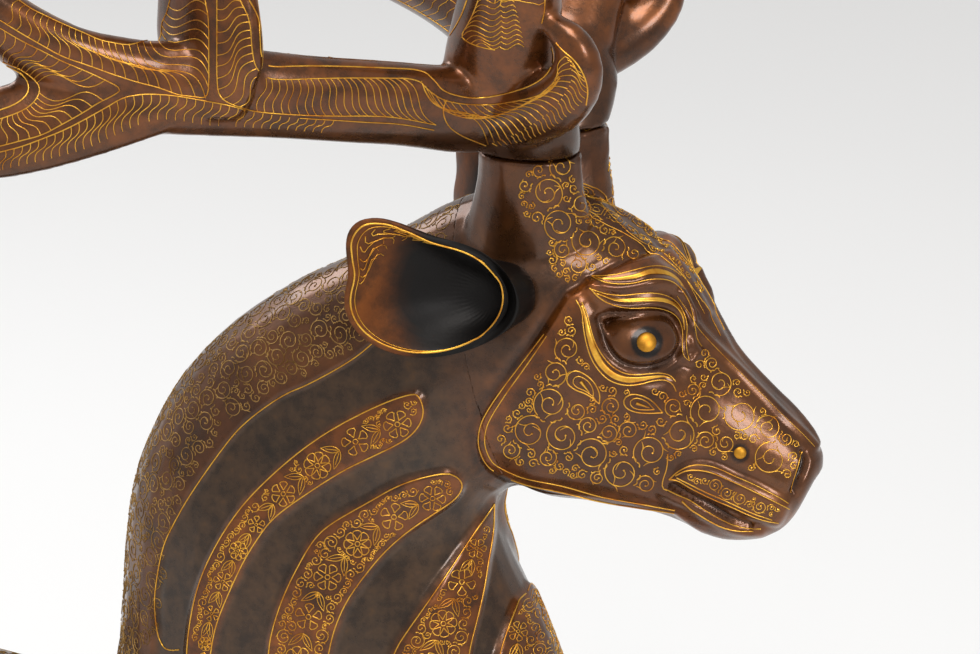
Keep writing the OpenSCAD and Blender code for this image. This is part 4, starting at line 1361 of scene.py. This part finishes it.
def fill(wires, surface, region, seed, sizes, wire=None, obstacles=(), side=-1):
    """Fill a drawn region with budding scrolls."""
    wire = wire or inlay("wire_radius")
    rng = random.Random(seed)
    for path, radius, tail in scroll_strokes(rng, grow_scrolls(rng, region, sizes, obstacles), wire):
        step = 0.75 if len(path) > 5 else None
        points = resample(path, step) if step else resample(path, count=4)
        for run in surface.lay_drawn(points, side):
            wires.add(run, radius, tail)


def face_inlay(head):
    wires = Wirework()
    for name in ("brow_1_low", "brow_1_up", "brow_2_up", "brow_2_low"):
        wires.add_drawn(head, DRAWING[name], -1, 0.26, 0.16)
    for name in (
        "under_eye_out", "under_eye_in", "lip_top", "lip_top_in", "lip_low", "lip_low_in", "chin_1",
        "mouth_corner",
    ):
        wires.add_drawn(head, DRAWING[name], -1, 0.28, 0.22)
    wires.add_drawn(head, DRAWING["chin_2"], -1, 0.4, 0.2)
    wires.add_drawn(head, DRAWING["nostril_line"], -1, 0.3, 0.15)
    wires.add_drawn(head, DRAWING["bridge_edge"], -1, 0.16, 0.12)
    wires.add_drawn(head, DRAWING["crest_edge"][3:], -1, 0.18, 0.12)
    obstacles = []
    for name in ("tear_1", "tear_2"):
        loop = np.array(DRAWING[name])
        wires.add_drawn(head, loop, -1, 0.26)
        middle = loop[:-1].mean(0)
        wires.add_drawn(head, middle + (loop - middle) * 0.62, -1, 0.2)
        drop = [tuple(middle + (loop[4] - middle) * 0.25), tuple(middle + (loop[0] - middle) * 0.4)]
        wires.add_drawn(head, drop, -1, 0.75, 0.15, 0.6)
        for k in (0, 1, 2, 4, 6, 7):
            obstacles.append((*loop[k], 1.0))
        obstacles.append((*middle, 4.6))
    dot = np.array(DRAWING["nose_dot"][0])
    obstacles.append((*dot, 3.6))
    fill(wires, head, DRAWING["scroll_cheek"], 11, (5.6, 4.3, 3.2, 2.4, 1.7, 1.3), obstacles=obstacles)
    fill(wires, head, DRAWING["scroll_temple"], 12, (5.2, 4.0, 3.0, 2.2, 1.6, 1.2))
    fill(wires, head, DRAWING["scroll_lip"], 13, (2.3, 1.8, 1.3, 0.9), 0.2)
    mirror_runs(wires)
    return wires


def crest_inlay(head):
    """Fine scrolls on the panel that runs down the forehead."""
    wires = Wirework()
    ridge = resample([row[0] for row in HEAD_ROWS[1:7]], 1.0)

    def lay(path, step, radius, tail=None):
        points = []
        for s, q in resample(path, step) if len(path) > 5 else resample(path, count=4):
            x, z = ridge[int(np.clip(s, 0, len(ridge) - 1))]
            points.append((x, -q, z))
        for run in cling(head, points):
            wires.add(run, radius, tail)

    edge = [(2, 9.5), (14, 9.4), (28, 8.6), (42, 6.8), (54, 4.6), (64, 3.2), (74, 2.6)]
    lay(edge, 1.0, 0.24)
    region = [(3, 0.4), (72, 0.4)] + [(s, q - 1) for s, q in edge[::-1]]
    rng = random.Random(14)
    for path, radius, tail in scroll_strokes(rng, grow_scrolls(rng, region, (3.4, 2.6, 1.9, 1.4, 1.0)), 0.19):
        lay(path, 0.8, radius, tail)
    mirror_runs(wires)
    return wires


def cheek_border(skin):
    wires = Wirework()
    wires.add_drawn(skin, DRAWING["cheek_out"], -1, inlay("line_radius"))
    inner = resample(DRAWING["cheek_out"], 2)
    along = np.gradient(inner, axis=0)
    side = np.stack([-along[:, 1], along[:, 0]], 1) / np.linalg.norm(along, axis=1)[:, None]
    gap = 2.3 * np.sin(np.linspace(0.06, 0.94, len(inner)) * math.pi) ** 0.5
    wires.add_drawn(skin, [tuple(p) for p in inner + side * gap[:, None]], -1, 0.26)
    mirror_runs(wires)
    return wires


def band_pattern(wires, skin, outline, seed, axis):
    """Flowers along the middle of a band, leaves beside them and small scrolls between."""
    rng = random.Random(seed)
    middle = resample(axis, 1.0)
    obstacles = []
    k = 6
    while k < len(middle) - 5:
        room = float(depth_inside(outline, middle[k:k + 1])[0])
        if room < 3.2:
            k += 3
            continue
        radius = min(5.0, room - 0.7)
        for loop in flower(middle[k], radius * 0.92, rng.uniform(0, 1), petals=(6, 5, 8)[len(obstacles) // 3 % 3]):
            wires.add_drawn(skin, loop, -1, 0.21, step=0.8)
        obstacles.append((*middle[k], radius))
        gap = int(radius * 2 + 5.5)
        if k + gap < len(middle) - 4:
            near, far = middle[k + int(radius) + 1], middle[min(k + gap - int(radius * 0.9), len(middle) - 1)]
            side = np.array((-(far - near)[1], (far - near)[0])) / max(np.linalg.norm(far - near), 1e-6)
            for sign in (-1, 1):
                tip = far + side * sign * min(room - 1.5, 5.5) * 0.75
                for stroke in leaf_strokes(near, tip, 1.1):
                    wires.add_drawn(skin, stroke, -1, 0.21, 0.14, step=0.8)
                obstacles.append((*((near + tip) / 2), 1.7))
        k += gap
    inner = outline_inset(outline, 1.9)
    fill(wires, skin, inner, seed + 50, (2.6, 1.9, 1.4, 1.0), 0.2, obstacles)


BAND_AXES = {
    "band_1": [(97, 396), (84, 392), (68, 383), (52, 370), (39, 354), (31, 339), (25.5, 322), (23, 304)],
    "band_2": [(108, 372), (96, 367), (84, 360), (74, 351), (66, 341), (60, 327), (56.5, 310), (56, 294)],
    "band_3": [(119, 358), (114, 346), (108, 333), (102, 318), (97, 302), (96, 284)],
    "band_4": [(131, 330), (130, 316), (128, 300), (128, 282), (132, 266)],
}


def neck_inlay(skin):
    wires = Wirework()
    for k, name in enumerate(NECK_BANDS):
        outline = DRAWING[name]
        border = outline_inset(outline, 0.9)
        wires.add_drawn(skin, border + border[:1], -1, inlay("line_radius"))
        band_pattern(wires, skin, outline, 21 + k, BAND_AXES[name])
    wires.add_drawn(skin, DRAWING["dorsal"], -1, inlay("line_radius"))
    mirror_runs(wires)
    return wires


class Unrolled:
    """The body's skin laid flat: s runs along the back line, q round from it."""

    def __init__(self, rows):
        self.rings = [
            np.array(section_ring(((r[0], r[1]), (r[2], r[3]), r[4], r[5], r[6]), 72)) for r in between_rows(rows, 4)
        ]
        top = np.array([ring[0] for ring in self.rings])
        self.s = np.concatenate([[0], np.cumsum(np.linalg.norm(np.diff(top, axis=0), axis=1))])

    def point(self, s, q):
        k = int(np.clip(np.searchsorted(self.s, s) - 1, 0, len(self.rings) - 2))
        t = (s - self.s[k]) / (self.s[k + 1] - self.s[k])
        ring = self.rings[k] * (1 - t) + self.rings[k + 1] * t
        half = ring[::-1][:37] if ring[1][1] > 0 else ring[:37]
        half = np.vstack([ring[:1], half])[:37]
        run = np.concatenate([[0], np.cumsum(np.linalg.norm(np.diff(half, axis=0), axis=1))])
        return np.array([np.interp(q, run, half[:, i]) for i in range(3)])


def cling(surface, points, lift=0.04, reach=6):
    """Move points to the nearest skin, in unbroken runs."""
    runs, run = [], []
    for p in points:
        hit, normal = surface.tree.find_nearest(Vector(p), reach)[:2]
        if hit is None:
            if len(run) > 2:
                runs.append(run)
            run = []
        else:
            run.append(tuple(hit + normal * lift))
    if len(run) > 2:
        runs.append(run)
    return runs


def back_inlay(skin):
    """Dense, dim scrolls over the crest of the neck and along the back."""
    flat = Unrolled(TORSO_ROWS[2:] + NECK_ROWS)
    rng = random.Random(31)
    wires = Wirework()
    chest, nape = len(TORSO_ROWS) - 2, len(TORSO_ROWS) + len(NECK_ROWS) - 3
    ends = {"chest": flat.s[4 * chest], "nape": flat.s[4 * nape]}
    region = [
        (6, 0.9), (ends["nape"] + 3, 0.9), (ends["nape"] - 4, 22), (ends["nape"] - 22, 37), (ends["nape"] - 70, 43),
        (ends["chest"] + 30, 42), (ends["chest"] + 6, 34), (ends["chest"] - 30, 24), (40, 20), (6, 12),
    ]
    grown = grow_scrolls(rng, region, (4.0, 3.0, 2.2, 1.6), tries=8)
    for path, radius, tail in scroll_strokes(rng, grown, 0.2):
        points = resample(path, 0.95) if len(path) > 5 else resample(path, count=4)
        for run in cling(skin, [flat.point(*p) for p in points]):
            wires.add(run, radius, tail)
    edge = resample([(4, 14), (40, 22.5), (ends["chest"] - 30, 26.5), (ends["chest"] + 4, 32)], 1.3)
    for offset in (0, 1.6):
        for run in cling(skin, [flat.point(p[0], p[1] + offset) for p in edge]):
            wires.add(run, 0.26)
    mirror_runs(wires)
    return wires


# Outlines of the shoulder, haunch and flank fields, as x and z.
FLANK_FIELDS = (
    [(30, 250), (52, 262), (70, 285), (78, 306), (72, 322), (52, 318), (34, 300), (26, 276)],
    [(-118, 300), (-96, 318), (-70, 312), (-56, 292), (-58, 266), (-74, 250), (-96, 252), (-114, 272)],
    [(-44, 268), (-20, 262), (8, 262), (22, 270), (22, 286), (6, 293), (-20, 292), (-42, 284)],
)


def flank_inlay(skin):
    """Bordered fields of scrolls on shoulder, haunch and flank."""
    wires = Wirework()

    def lay(path, step, radius, tail=None):
        points = resample(path, step) if len(path) > 5 else resample(path, count=4)
        for run in skin.lay([np.array((p[0], -300, p[1])) for p in points], (0, 1, 0), steep=0.2):
            wires.add(run, radius, tail)

    for k, corners in enumerate(FLANK_FIELDS):
        ring = resample(round_off(corners), 1.2)
        rng = random.Random(60 + k)
        outline = [tuple(p) for p in ring[:-1]]
        lay(outline + outline[:1], 1.2, inlay("line_radius"))
        inner = outline_inset(outline, 1.8)
        lay(inner + inner[:1], 1.2, 0.2)
        grown = grow_scrolls(rng, outline_inset(outline, 2.8), (6, 4.6, 3.4, 2.4, 1.7))
        for path, radius, tail in scroll_strokes(rng, grown, inlay("wire_radius")):
            lay(path, 0.9, radius, tail)
    mirror_runs(wires)
    return wires


def antler_ribs():
    """Families of ribs on the antler: two guide lines, count, sway, span and lean of each."""
    d = {name: resample(DRAWING[name], 1.0) for name in (
        "beam_top_in", "midrib_low", "midrib_low_2", "midrib_up_l", "low_rib_line", "mid_line_l",
        "gap_u_in", "gap_eye_in", "bottom_edge", "curl_midrib", "curl_low", "trunk_l", "trunk_mid", "trunk_r",
    )}

    def part(name, a, b):
        line = d[name]
        return line[int(a * (len(line) - 1)):int(b * (len(line) - 1)) + 1]

    low = np.vstack([[(74, 488.6), (64, 488.9)], part("low_rib_line", 0.0, 1.0)])
    return [
        (part("beam_top_in", 0.2, 0.55), part("midrib_low", 0.43, 1.0), 22, 0.08, (0.0, 1.0), 0.0),
        (part("beam_top_in", 0.0, 0.2), part("midrib_low", 0.0, 0.38), 11, -0.10, (0.02, 0.98), 0.06),
        (part("midrib_up_l", 0.0, 1.0), part("gap_u_in", 0.0, 1.0)[::-1], 27, -0.12, (0.02, 0.98), 0.02),
        (part("mid_line_l", 0.0, 0.47), part("gap_eye_in", 0.0, 0.5), 10, 0.10, (0.05, 0.92), -0.04),
        (part("mid_line_l", 0.53, 1.0), part("gap_eye_in", 0.5, 1.0), 10, -0.10, (0.1, 0.95), 0.0),
        (low, part("bottom_edge", 0.0, 1.0), 40, 0.10, (0.0, 0.99), 0.03),
        (part("curl_midrib", 0.0, 1.0), part("beam_top_in", 0.60, 1.0), 20, -0.10, (0.0, 0.97), -0.06),
        (part("curl_midrib", 0.0, 1.0), part("curl_low", 0.0, 1.0), 26, 0.06, (0.04, 0.97), -0.02),
        (part("trunk_mid", 0.0, 1.0), part("trunk_l", 0.0, 0.75), 10, 0.12, (0.0, 0.97), 0.05),
        (part("trunk_mid", 0.0, 1.0), part("trunk_r", 0.0, 0.8), 10, -0.12, (0.0, 0.97), 0.05),
    ]


def feather(wires, surface, path, way, start, stop, spacing, pair=0.9, edge=3.2):
    """Midrib, borders and ribs along a tine; path rows are (x, y, z, half-height), way points into the metal."""
    line = resample(path, 1.2)
    n = len(line)
    along = np.gradient(line[:, :3], axis=0)
    along /= np.linalg.norm(along, axis=1)[:, None]
    way = np.array(way, float)
    up = np.cross(along, way)
    up /= np.linalg.norm(up, axis=1)[:, None]
    first, last = int(start * (n - 1)), int(stop * (n - 1))

    def lay(points, radius, tail=None):
        for run in surface.lay([p - way * 60 for p in points], way, steep=0.2):
            wires.add(run, radius, tail)

    reach = np.maximum(line[:, 3] - edge, 0.3)
    for sign in (-1, 1):
        lay([line[k, :3] + up[k] * sign * min(pair, reach[k]) for k in range(first, last + 1)], 0.25, 0.18)
        lay([line[k, :3] + up[k] * sign * reach[k] for k in range(first, last + 1)], 0.28, 0.2)
        k = float(first + 2)
        while k < last - 2:
            i = int(k)
            wide = reach[i] - pair
            if wide > 1.6:
                ahead = min(wide * 0.55, (last - i) * 1.2)
                stroke = []
                for f in np.linspace(0, 1, 8):
                    j = min(int(i + ahead * f / 1.2), n - 1)
                    bend = math.sin(2 * math.pi * f) * 0.08 * wide
                    rise = pair + min(wide * f, reach[j] - pair)
                    stroke.append(line[j, :3] + up[j] * sign * rise + along[j] * bend)
                lay(stroke, 0.22, 0.16)
            k += spacing / 1.2


def palm_line(rows):
    """A tine's centre line on the right-hand antler."""
    out = []
    for row in between_rows(rows, 2):
        x, y, z = palm(row[0], row[1])
        out.append((x, -y, z, row[2]))
    return out


def antler_inlay(antler):
    wires = Wirework()
    bright = ("beam_top_out", "gap_u_out", "gap_eye_out", "curl_out", "trunk_out")
    for name in bright:
        wires.add_drawn(antler, DRAWING[name], -1, 0.3)
    for name in (
        "beam_top_in", "midrib_low", "midrib_low_2", "midrib_up_l", "low_rib_line", "mid_line_l", "gap_u_in",
        "gap_eye_in", "curl_leaf_l", "trunk_l",
    ):
        wires.add_drawn(antler, DRAWING[name], -1, 0.24)
    for first, second, count, sway, ends, lean in antler_ribs():
        for stroke in ribs(first, second, count, sway, ends, lean):
            wires.add_drawn(antler, stroke, -1, 0.2, 0.16, step=0.9)
    outer = np.array((PALM_SIDE[0], -PALM_SIDE[1], 0))
    for rows, start in ((UP_TINE_ROWS, 0.42), (BACK_TINE_ROWS, 0.55), (LOW_TINE_ROWS, 0.62)):
        feather(wires, antler, palm_line(rows), outer, start, 0.93, 4.0)
    for rows, start in ((UP_TINE_ROWS, 0.1), (BACK_TINE_ROWS, 0.12), (LOW_TINE_ROWS, 0.12), (BEAM_ROWS, 0.2)):
        feather(wires, antler, palm_line(rows), -outer, start, 0.93, 4.4)
    trunk = [(r[0], -r[1], r[2], r[3]) for r in between_rows(TRUNK_ROWS, 2)]
    feather(wires, antler, trunk, (0, 1, -0.3), 0.32, 0.92, 4.0)
    feather(wires, antler, trunk, (0, -1, 0.3), 0.2, 0.92, 4.4)
    return wires


def ear_inlay(ear):
    wires = Wirework()
    rows = [(*row[0], *row[1:]) for row in EAR_ROWS]
    rim, inner = np.array(ear_ring(rows[5], -1)), np.array(ear_ring(rows[6], -1))
    band = rim * 0.9 + inner * 0.1
    band = np.vstack([band, band[:1]])
    for run in cling(ear, resample([tuple(p) for p in band], 1.0), 0.05):
        wires.add(run, 0.4)
    thin = np.vstack([rim * 0.72 + inner * 0.28, (rim * 0.72 + inner * 0.28)[:1]])
    for run in cling(ear, resample([tuple(p) for p in thin], 1.0), 0.04):
        wires.add(run, 0.2)
    for k in range(13):
        a = 7.5 + k * 0.72
        stroke = []
        for f in np.linspace(0, 1, 8):
            at = a + (12 - a) * 0.55 * f + 0.5 * math.sin(2 * math.pi * f)
            i, t = int(at) % 36, at % 1
            edge = rim[i] * (1 - t) + rim[(i + 1) % 36] * t
            deep = inner[i] * (1 - t) + inner[(i + 1) % 36] * t
            depth = 0.34 + f * (0.75 if k % 2 else 0.55)
            stroke.append(tuple(edge * (1 - depth) + deep * depth))
        for run in cling(ear, stroke, 0.05):
            wires.add(run, 0.26, 0.12)
    return wires


# ---- operators --------------------------------------------------------------------------
PIECES = {}


class STAG_OT_head_and_neck(bpy.types.Operator):
    """Cast, carve and patinate the head and the neck."""

    bl_idname = "stag.head_and_neck"
    bl_label = "Head and Neck"

    def execute(self, context):
        head, neck = head_form(), neck_form()
        for piece in (head, neck):
            carve(piece)
        cut(head, (0, 0, ANTLER_FOOT_Z - 0.1), (0, 0, 1))
        at, forward = seam_plane(NAPE_SEAM, 1)
        cut(head, at, -forward)
        cut(neck, at, forward)
        at, forward = seam_plane(CHEST_SEAM, 1)
        cut(neck, at, -forward)
        PIECES["head"] = finish_piece(head, "figure", "bronze", ["head_shell"])
        PIECES["neck"] = finish_piece(neck, "figure", "bronze", ["neck_shell"])
        return {"FINISHED"}


class STAG_OT_body(bpy.types.Operator):
    """Cast the torso and the four legs and saw them apart at their seams."""

    bl_idname = "stag.body"
    bl_label = "Torso and Legs"

    def execute(self, context):
        whole = body_form()
        points = coords(whole)
        split = (np.abs(points[:, 1]) - LEG_Y) / 1.9
        split = HOOF_GROOVE * np.exp(-(split ** 2)) * smooth_step(PLATE_TOP + 20, PLATE_TOP + 11, points[:, 2])
        set_coords(whole, points - normals(whole) * (split * (points[:, 2] > PLATE_TOP + 0.5))[:, None])
        low = smooth_step(260, 60, points[:, 2])
        # The third mask, mixed with the painted-shade colour, darkens the legs towards the base.
        paint_patina_and_shade(whole, 0.35 + 0.2 * low, 0.55 * (1 - low) + 0.1, 0.25 * smooth_step(60, 20, points[:, 2]))
        at, forward = seam_plane(CHEST_SEAM, 1)
        cut(whole, at, forward)
        for part, sign_x, side in (("front", 1, -1), ("front", 1, 1), ("hind", -1, -1), ("hind", -1, 1)):
            leg = bpy.data.objects.new("leg", whole.data.copy())
            context.scene.collection.objects.link(leg)
            cut(leg, (0, 0, LEG_SEAM), (0, 0, 1))
            cut(leg, (0, 0, 0), (-sign_x, 0, 0))
            cut(leg, (0, 0, 0), (0, -side, 0))
            name = f"{part}_leg_{'left' if side > 0 else 'right'}"
            leg.name = leg.data.name = name + "_bronze"
            PIECES[name] = finish_piece(leg, "figure", "bronze", [name])
        cut(whole, (0, 0, LEG_SEAM), (0, 0, -1))
        whole.name = whole.data.name = "torso"
        PIECES["torso"] = finish_piece(whole, "figure", "bronze", ["torso_shell"])
        return {"FINISHED"}


class STAG_OT_ears(bpy.types.Operator):
    """Form the two ears."""

    bl_idname = "stag.ears"
    bl_label = "Ears"

    def execute(self, context):
        for name, side in SIDES:
            ear = ear_form(side)
            points = coords(ear)
            mouth = np.array((118.5, side * 49, 491.0))
            inward = unit((math.cos(math.radians(67)), -side * math.sin(math.radians(67)), 0))
            depth = (points - mouth) @ inward
            near = np.linalg.norm((points - mouth) - np.outer(depth, inward), axis=1)
            # Painted shade: the ear hole gets darker inwards from its mouth.
            inside = smooth_step(-8, 4, depth) * (1 - smooth_step(24, 33, near))
            paint_patina_and_shade(ear, 0.3 + 0.5 * smooth_step(3, -2, depth), 0.35 * smooth_step(0, 10, depth), inside)
            ear.name = ear.data.name = f"ear_{name}_bronze"
            PIECES[f"ear_{name}"] = finish_piece(ear, "figure", "ear bronze", [f"ear_{name}"])
        return {"FINISHED"}


class STAG_OT_antlers(bpy.types.Operator):
    """Cast the two antlers, each with a flat foot and a bore for its peg."""

    bl_idname = "stag.antlers"
    bl_label = "Antlers"

    def execute(self, context):
        for name, side in SIDES:
            antler = antler_form(side)
            cut(antler, (0, 0, ANTLER_FOOT_Z), (0, 0, -1))
            bore(antler, (144, side * 19, ANTLER_FOOT_Z - 1), 6.2, 15)
            points = coords(antler)
            foot = smooth_step(566, 536, points[:, 2])
            # The third mask, mixed with the painted-shade colour, darkens each antler towards its foot at the head.
            paint_patina_and_shade(antler, 0.75 - 0.45 * foot, 0.12 + 0.25 * foot, 0.15 * foot)
            antler.name = antler.data.name = f"antler_{name}_bronze"
            PIECES[f"antler_{name}"] = finish_piece(
                antler, f"{name}_antler", "bronze", [f"antler_{name}"]
            )
        return {"FINISHED"}


def bore(piece, foot, radius, depth):
    """Drill a round hole upwards from a point."""
    bm = bmesh.new()
    bmesh.ops.create_cone(bm, cap_ends=True, segments=48, radius1=radius, radius2=radius, depth=depth)
    bmesh.ops.translate(bm, verts=bm.verts, vec=(foot[0], foot[1], foot[2] + depth / 2))
    drill = mesh_object(bm, "drill")
    modifier = piece.modifiers.new("bore", "BOOLEAN")
    modifier.operation = "DIFFERENCE"
    modifier.solver = "EXACT"
    modifier.object = drill
    apply_modifiers(piece)
    bpy.data.objects.remove(drill)


class STAG_OT_base(bpy.types.Operator):
    """Make the bronze base with its moulded edge, and the felt under it."""

    bl_idname = "stag.base"
    bl_label = "Base"

    def execute(self, context):
        low, high = (np.array(v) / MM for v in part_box("base_plate"))
        bm = bmesh.new()
        plate_block(bm, low, high, 26)
        top = [f for f in bm.faces if f.normal.z > 0.99 and f.calc_center_median().z > high[2] - 0.1]
        bmesh.ops.inset_region(bm, faces=top, thickness=4.5, depth=0)
        bmesh.ops.inset_region(bm, faces=top, thickness=1.2, depth=-0.8)
        bmesh.ops.inset_region(bm, faces=top, thickness=1.2, depth=0.8)
        plate = mesh_object(bm, "base_plate_bronze")
        bevel = plate.modifiers.new("edge", "BEVEL")
        bevel.width, bevel.segments, bevel.limit_method = 0.9, 3, "ANGLE"
        apply_modifiers(plate)
        paint_patina_and_shade(plate, 0.4, 0.25, 0)
        PIECES["base"] = finish_piece(plate, "figure", "bronze", ["base_plate"])
        low, high = (np.array(v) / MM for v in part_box("base_felt"))
        bm = bmesh.new()
        plate_block(bm, low, high, 23)
        felt = mesh_object(bm, "base_felt_pad")
        finish_piece(felt, "figure", "felt", ["base_felt"])
        return {"FINISHED"}


def plate_block(bm, low, high, corner):
    """A flat block with round corners."""
    bmesh.ops.create_cube(bm, size=1)
    bmesh.ops.scale(bm, vec=high - low, verts=bm.verts)
    bmesh.ops.translate(bm, vec=(high + low) / 2, verts=bm.verts)
    upright = [e for e in bm.edges if abs(e.verts[0].co.z - e.verts[1].co.z) > 0.5]
    bmesh.ops.bevel(bm, geom=upright, offset=corner, segments=16, profile=0.5, affect="EDGES", material=-1)


class STAG_OT_inlay(bpy.types.Operator):
    """Lay the gold wire and the broad gold strokes into the bronze."""

    bl_idname = "stag.inlay"
    bl_label = "Gold Inlay"

    def execute(self, context):
        skin = Surface(PIECES["head"], PIECES["neck"])
        for name, wires, finish in (
            ("inlay_face", face_inlay(skin), "gold"),
            ("inlay_cheek_border", cheek_border(skin), "gold"),
            ("inlay_crest", crest_inlay(skin), "gold"),
            ("inlay_neck", neck_inlay(skin), "gold"),
            ("inlay_flank", flank_inlay(Surface(PIECES["torso"])), "gold"),
            ("inlay_back", back_inlay(Surface(PIECES["head"], PIECES["neck"], PIECES["torso"])), "dim gold"),
        ):
            finish_piece(wires.build(name), "figure", finish, scale=1)
        bm = bmesh.new()
        for side in (-1, 1):
            for name, widths in BROAD_STROKES.items():
                ribbon(bm, skin, DRAWING[name], widths, side)
        finish_piece(mesh_object(bm, "inlay_broad_strokes"), "figure", "gold")
        for name, side in SIDES:
            bm = bmesh.new()
            dome(bm, skin, PUPIL_AT, inlay("pupil_radius"), 1.3, side)
            finish_piece(mesh_object(bm, f"pupil_{name}_gold"), "figure", "burnished gold", [f"pupil_{name}"])
        bm = bmesh.new()
        for _, side in SIDES:
            dome(bm, skin, MUZZLE_STUD_AT, inlay("stud_radius"), 0.9, side)
        finish_piece(mesh_object(bm, "muzzle_studs_gold"), "figure", "burnished gold", ["muzzle_studs"])
        ear = ear_inlay(Surface(PIECES["ear_right"]))
        mirror_runs(ear)
        finish_piece(ear.build("inlay_ears"), "figure", "gold", scale=1)
        wires = antler_inlay(Surface(PIECES["antler_right"]))
        finish_piece(wires.build("inlay_antler_right"), "right_antler", "gold", scale=1)
        wires.runs = [([(x, -y, z) for x, y, z in points], radii) for points, radii in wires.runs]
        finish_piece(wires.build("inlay_antler_left"), "left_antler", "gold", scale=1)
        return {"FINISHED"}


class STAG_OT_fittings(bpy.types.Operator):
    """Give the kept fastenings, sleeves and studs their finishes."""

    bl_idname = "stag.fittings"
    bl_label = "Fittings"

    def execute(self, context):
        finish_of = {
            "pupil": "gold", "muzzle": "gold", "hoof": "steel", "leg_pins": "steel", "seam_pins": "raw bronze",
            "neck_sleeve": "raw bronze", "head_sleeve": "raw bronze", "antler_peg": "steel",
        }
        for name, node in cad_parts.items():
            for start, finish in finish_of.items():
                if name.startswith(start):
                    for piece in [node] if hasattr(node, "material_slots") else node:
                        for slot in piece.material_slots:
                            slot.material = material_for(finish)
        return {"FINISHED"}


# Focal length and sensor width in millimetres; aim and distance in metres.
CAMERA_LENS = (120, 36)
CAMERA_AIM = (0.1268, 0, 0.4669)
CAMERA_DISTANCE = 1.078
# Name, place, aim, size, power and tint of each lamp.
SOFT_LIGHTS = (
    ("key", (0.35, -1.1, 2.0), (0.12, 0, 0.45), 0.8, 22, (1, 0.98, 0.95)),
    ("rim", (-1.3, 0.7, 1.5), (0.05, 0, 0.5), 0.8, 10, (0.96, 0.98, 1)),
    ("glint", (1.15, -1.2, 0.95), (0.2, 0, 0.45), 0.35, 7, (1, 1, 1)),
)


class STAG_OT_studio(bpy.types.Operator):
    """Set out a pale floor, soft lights and the camera."""

    bl_idname = "stag.studio"
    bl_label = "Studio"

    def execute(self, context):
        bm = bmesh.new()
        bmesh.ops.create_grid(bm, x_segments=8, y_segments=8, size=14)
        mesh = bpy.data.meshes.new("floor")
        bm.to_mesh(mesh)
        bm.free()
        floor = bpy.data.objects.new("floor", mesh)
        context.scene.collection.objects.link(floor)
        material, tree, output = new_material("pale_paper_floor")
        place = add_node(tree, "ShaderNodeTexCoord").outputs["Object"]
        tone = add_node(tree, "ShaderNodeTexNoise", links={"Vector": place, "Scale": 0.6, "Detail": 2})
        colour = add_node(tree, "ShaderNodeValToRGB", links={"Fac": tone.outputs["Fac"]}, stops=[
            (0.3, linear("#f3f3f3")), (0.7, linear("#f7f7f7")),
        ])
        paper = add_node(tree, "ShaderNodeBsdfPrincipled", links={
            "Base Color": colour.outputs["Color"], "Roughness": 0.9,
        })
        tree.links.new(paper.outputs[0], output.inputs[0])
        mesh.materials.append(material)
        for name, place, aim, size, power, tint in SOFT_LIGHTS:
            lamp = bpy.data.lights.new(name, "AREA")
            lamp.energy, lamp.size, lamp.color = power, size, tint
            light = bpy.data.objects.new(name, lamp)
            light.location = place
            light.rotation_euler = (Vector(aim) - Vector(place)).to_track_quat("-Z", "Y").to_euler()
            context.scene.collection.objects.link(light)
        world = bpy.data.worlds.new("studio")
        context.scene.world = world
        world.use_nodes = True
        world.node_tree.nodes["Background"].inputs["Color"].default_value = (1, 0.992, 0.982, 1)
        world.node_tree.nodes["Background"].inputs["Strength"].default_value = 0.68
        context.scene.view_settings.view_transform = "Standard"
        lens = bpy.data.cameras.new("camera")
        lens.lens, lens.sensor_width = CAMERA_LENS
        lens.clip_start, lens.clip_end = 0.05, 60
        camera = bpy.data.objects.new("camera", lens)
        camera.location = Vector(CAMERA_AIM) + Vector(DRAW_OUT) * CAMERA_DISTANCE
        camera.rotation_euler = (-Vector(DRAW_OUT)).to_track_quat("-Z", "Y").to_euler()
        context.scene.collection.objects.link(camera)
        context.scene.camera = camera
        return {"FINISHED"}


GROUPS = {"stag_figure": FigureSizes, "stag_inlay": InlaySizes, "stag_colours": FinishColours}
OPERATORS = (
    STAG_OT_studio, STAG_OT_head_and_neck, STAG_OT_body, STAG_OT_ears, STAG_OT_antlers, STAG_OT_base,
    STAG_OT_inlay, STAG_OT_fittings,
)


class STAG_PT_panel(bpy.types.Panel):
    """Lists the build steps in the sidebar."""

    bl_idname = "STAG_PT_panel"
    bl_label = "Inlaid Bronze Stag"
    bl_space_type = "VIEW_3D"
    bl_region_type = "UI"
    bl_category = "Stag"

    def draw(self, context):
        for owner, group in GROUPS.items():
            for name in group.__annotations__:
                self.layout.prop(getattr(context.scene, owner), name)
        for operator in OPERATORS:
            self.layout.operator(operator.bl_idname)


def register():
    for part in (*GROUPS.values(), *OPERATORS, STAG_PT_panel):
        bpy.utils.register_class(part)
    for owner, group in GROUPS.items():
        setattr(bpy.types.Scene, owner, bpy.props.PointerProperty(type=group))


def unregister():
    for owner in GROUPS:
        delattr(bpy.types.Scene, owner)
    for part in (STAG_PT_panel, *reversed(OPERATORS), *GROUPS.values()):
        bpy.utils.unregister_class(part)


def main():
    register()
    for operator in OPERATORS:
        group, name = operator.bl_idname.split(".")
        getattr(getattr(bpy.ops, group), name)()


if __name__ == "__main__":
    main()
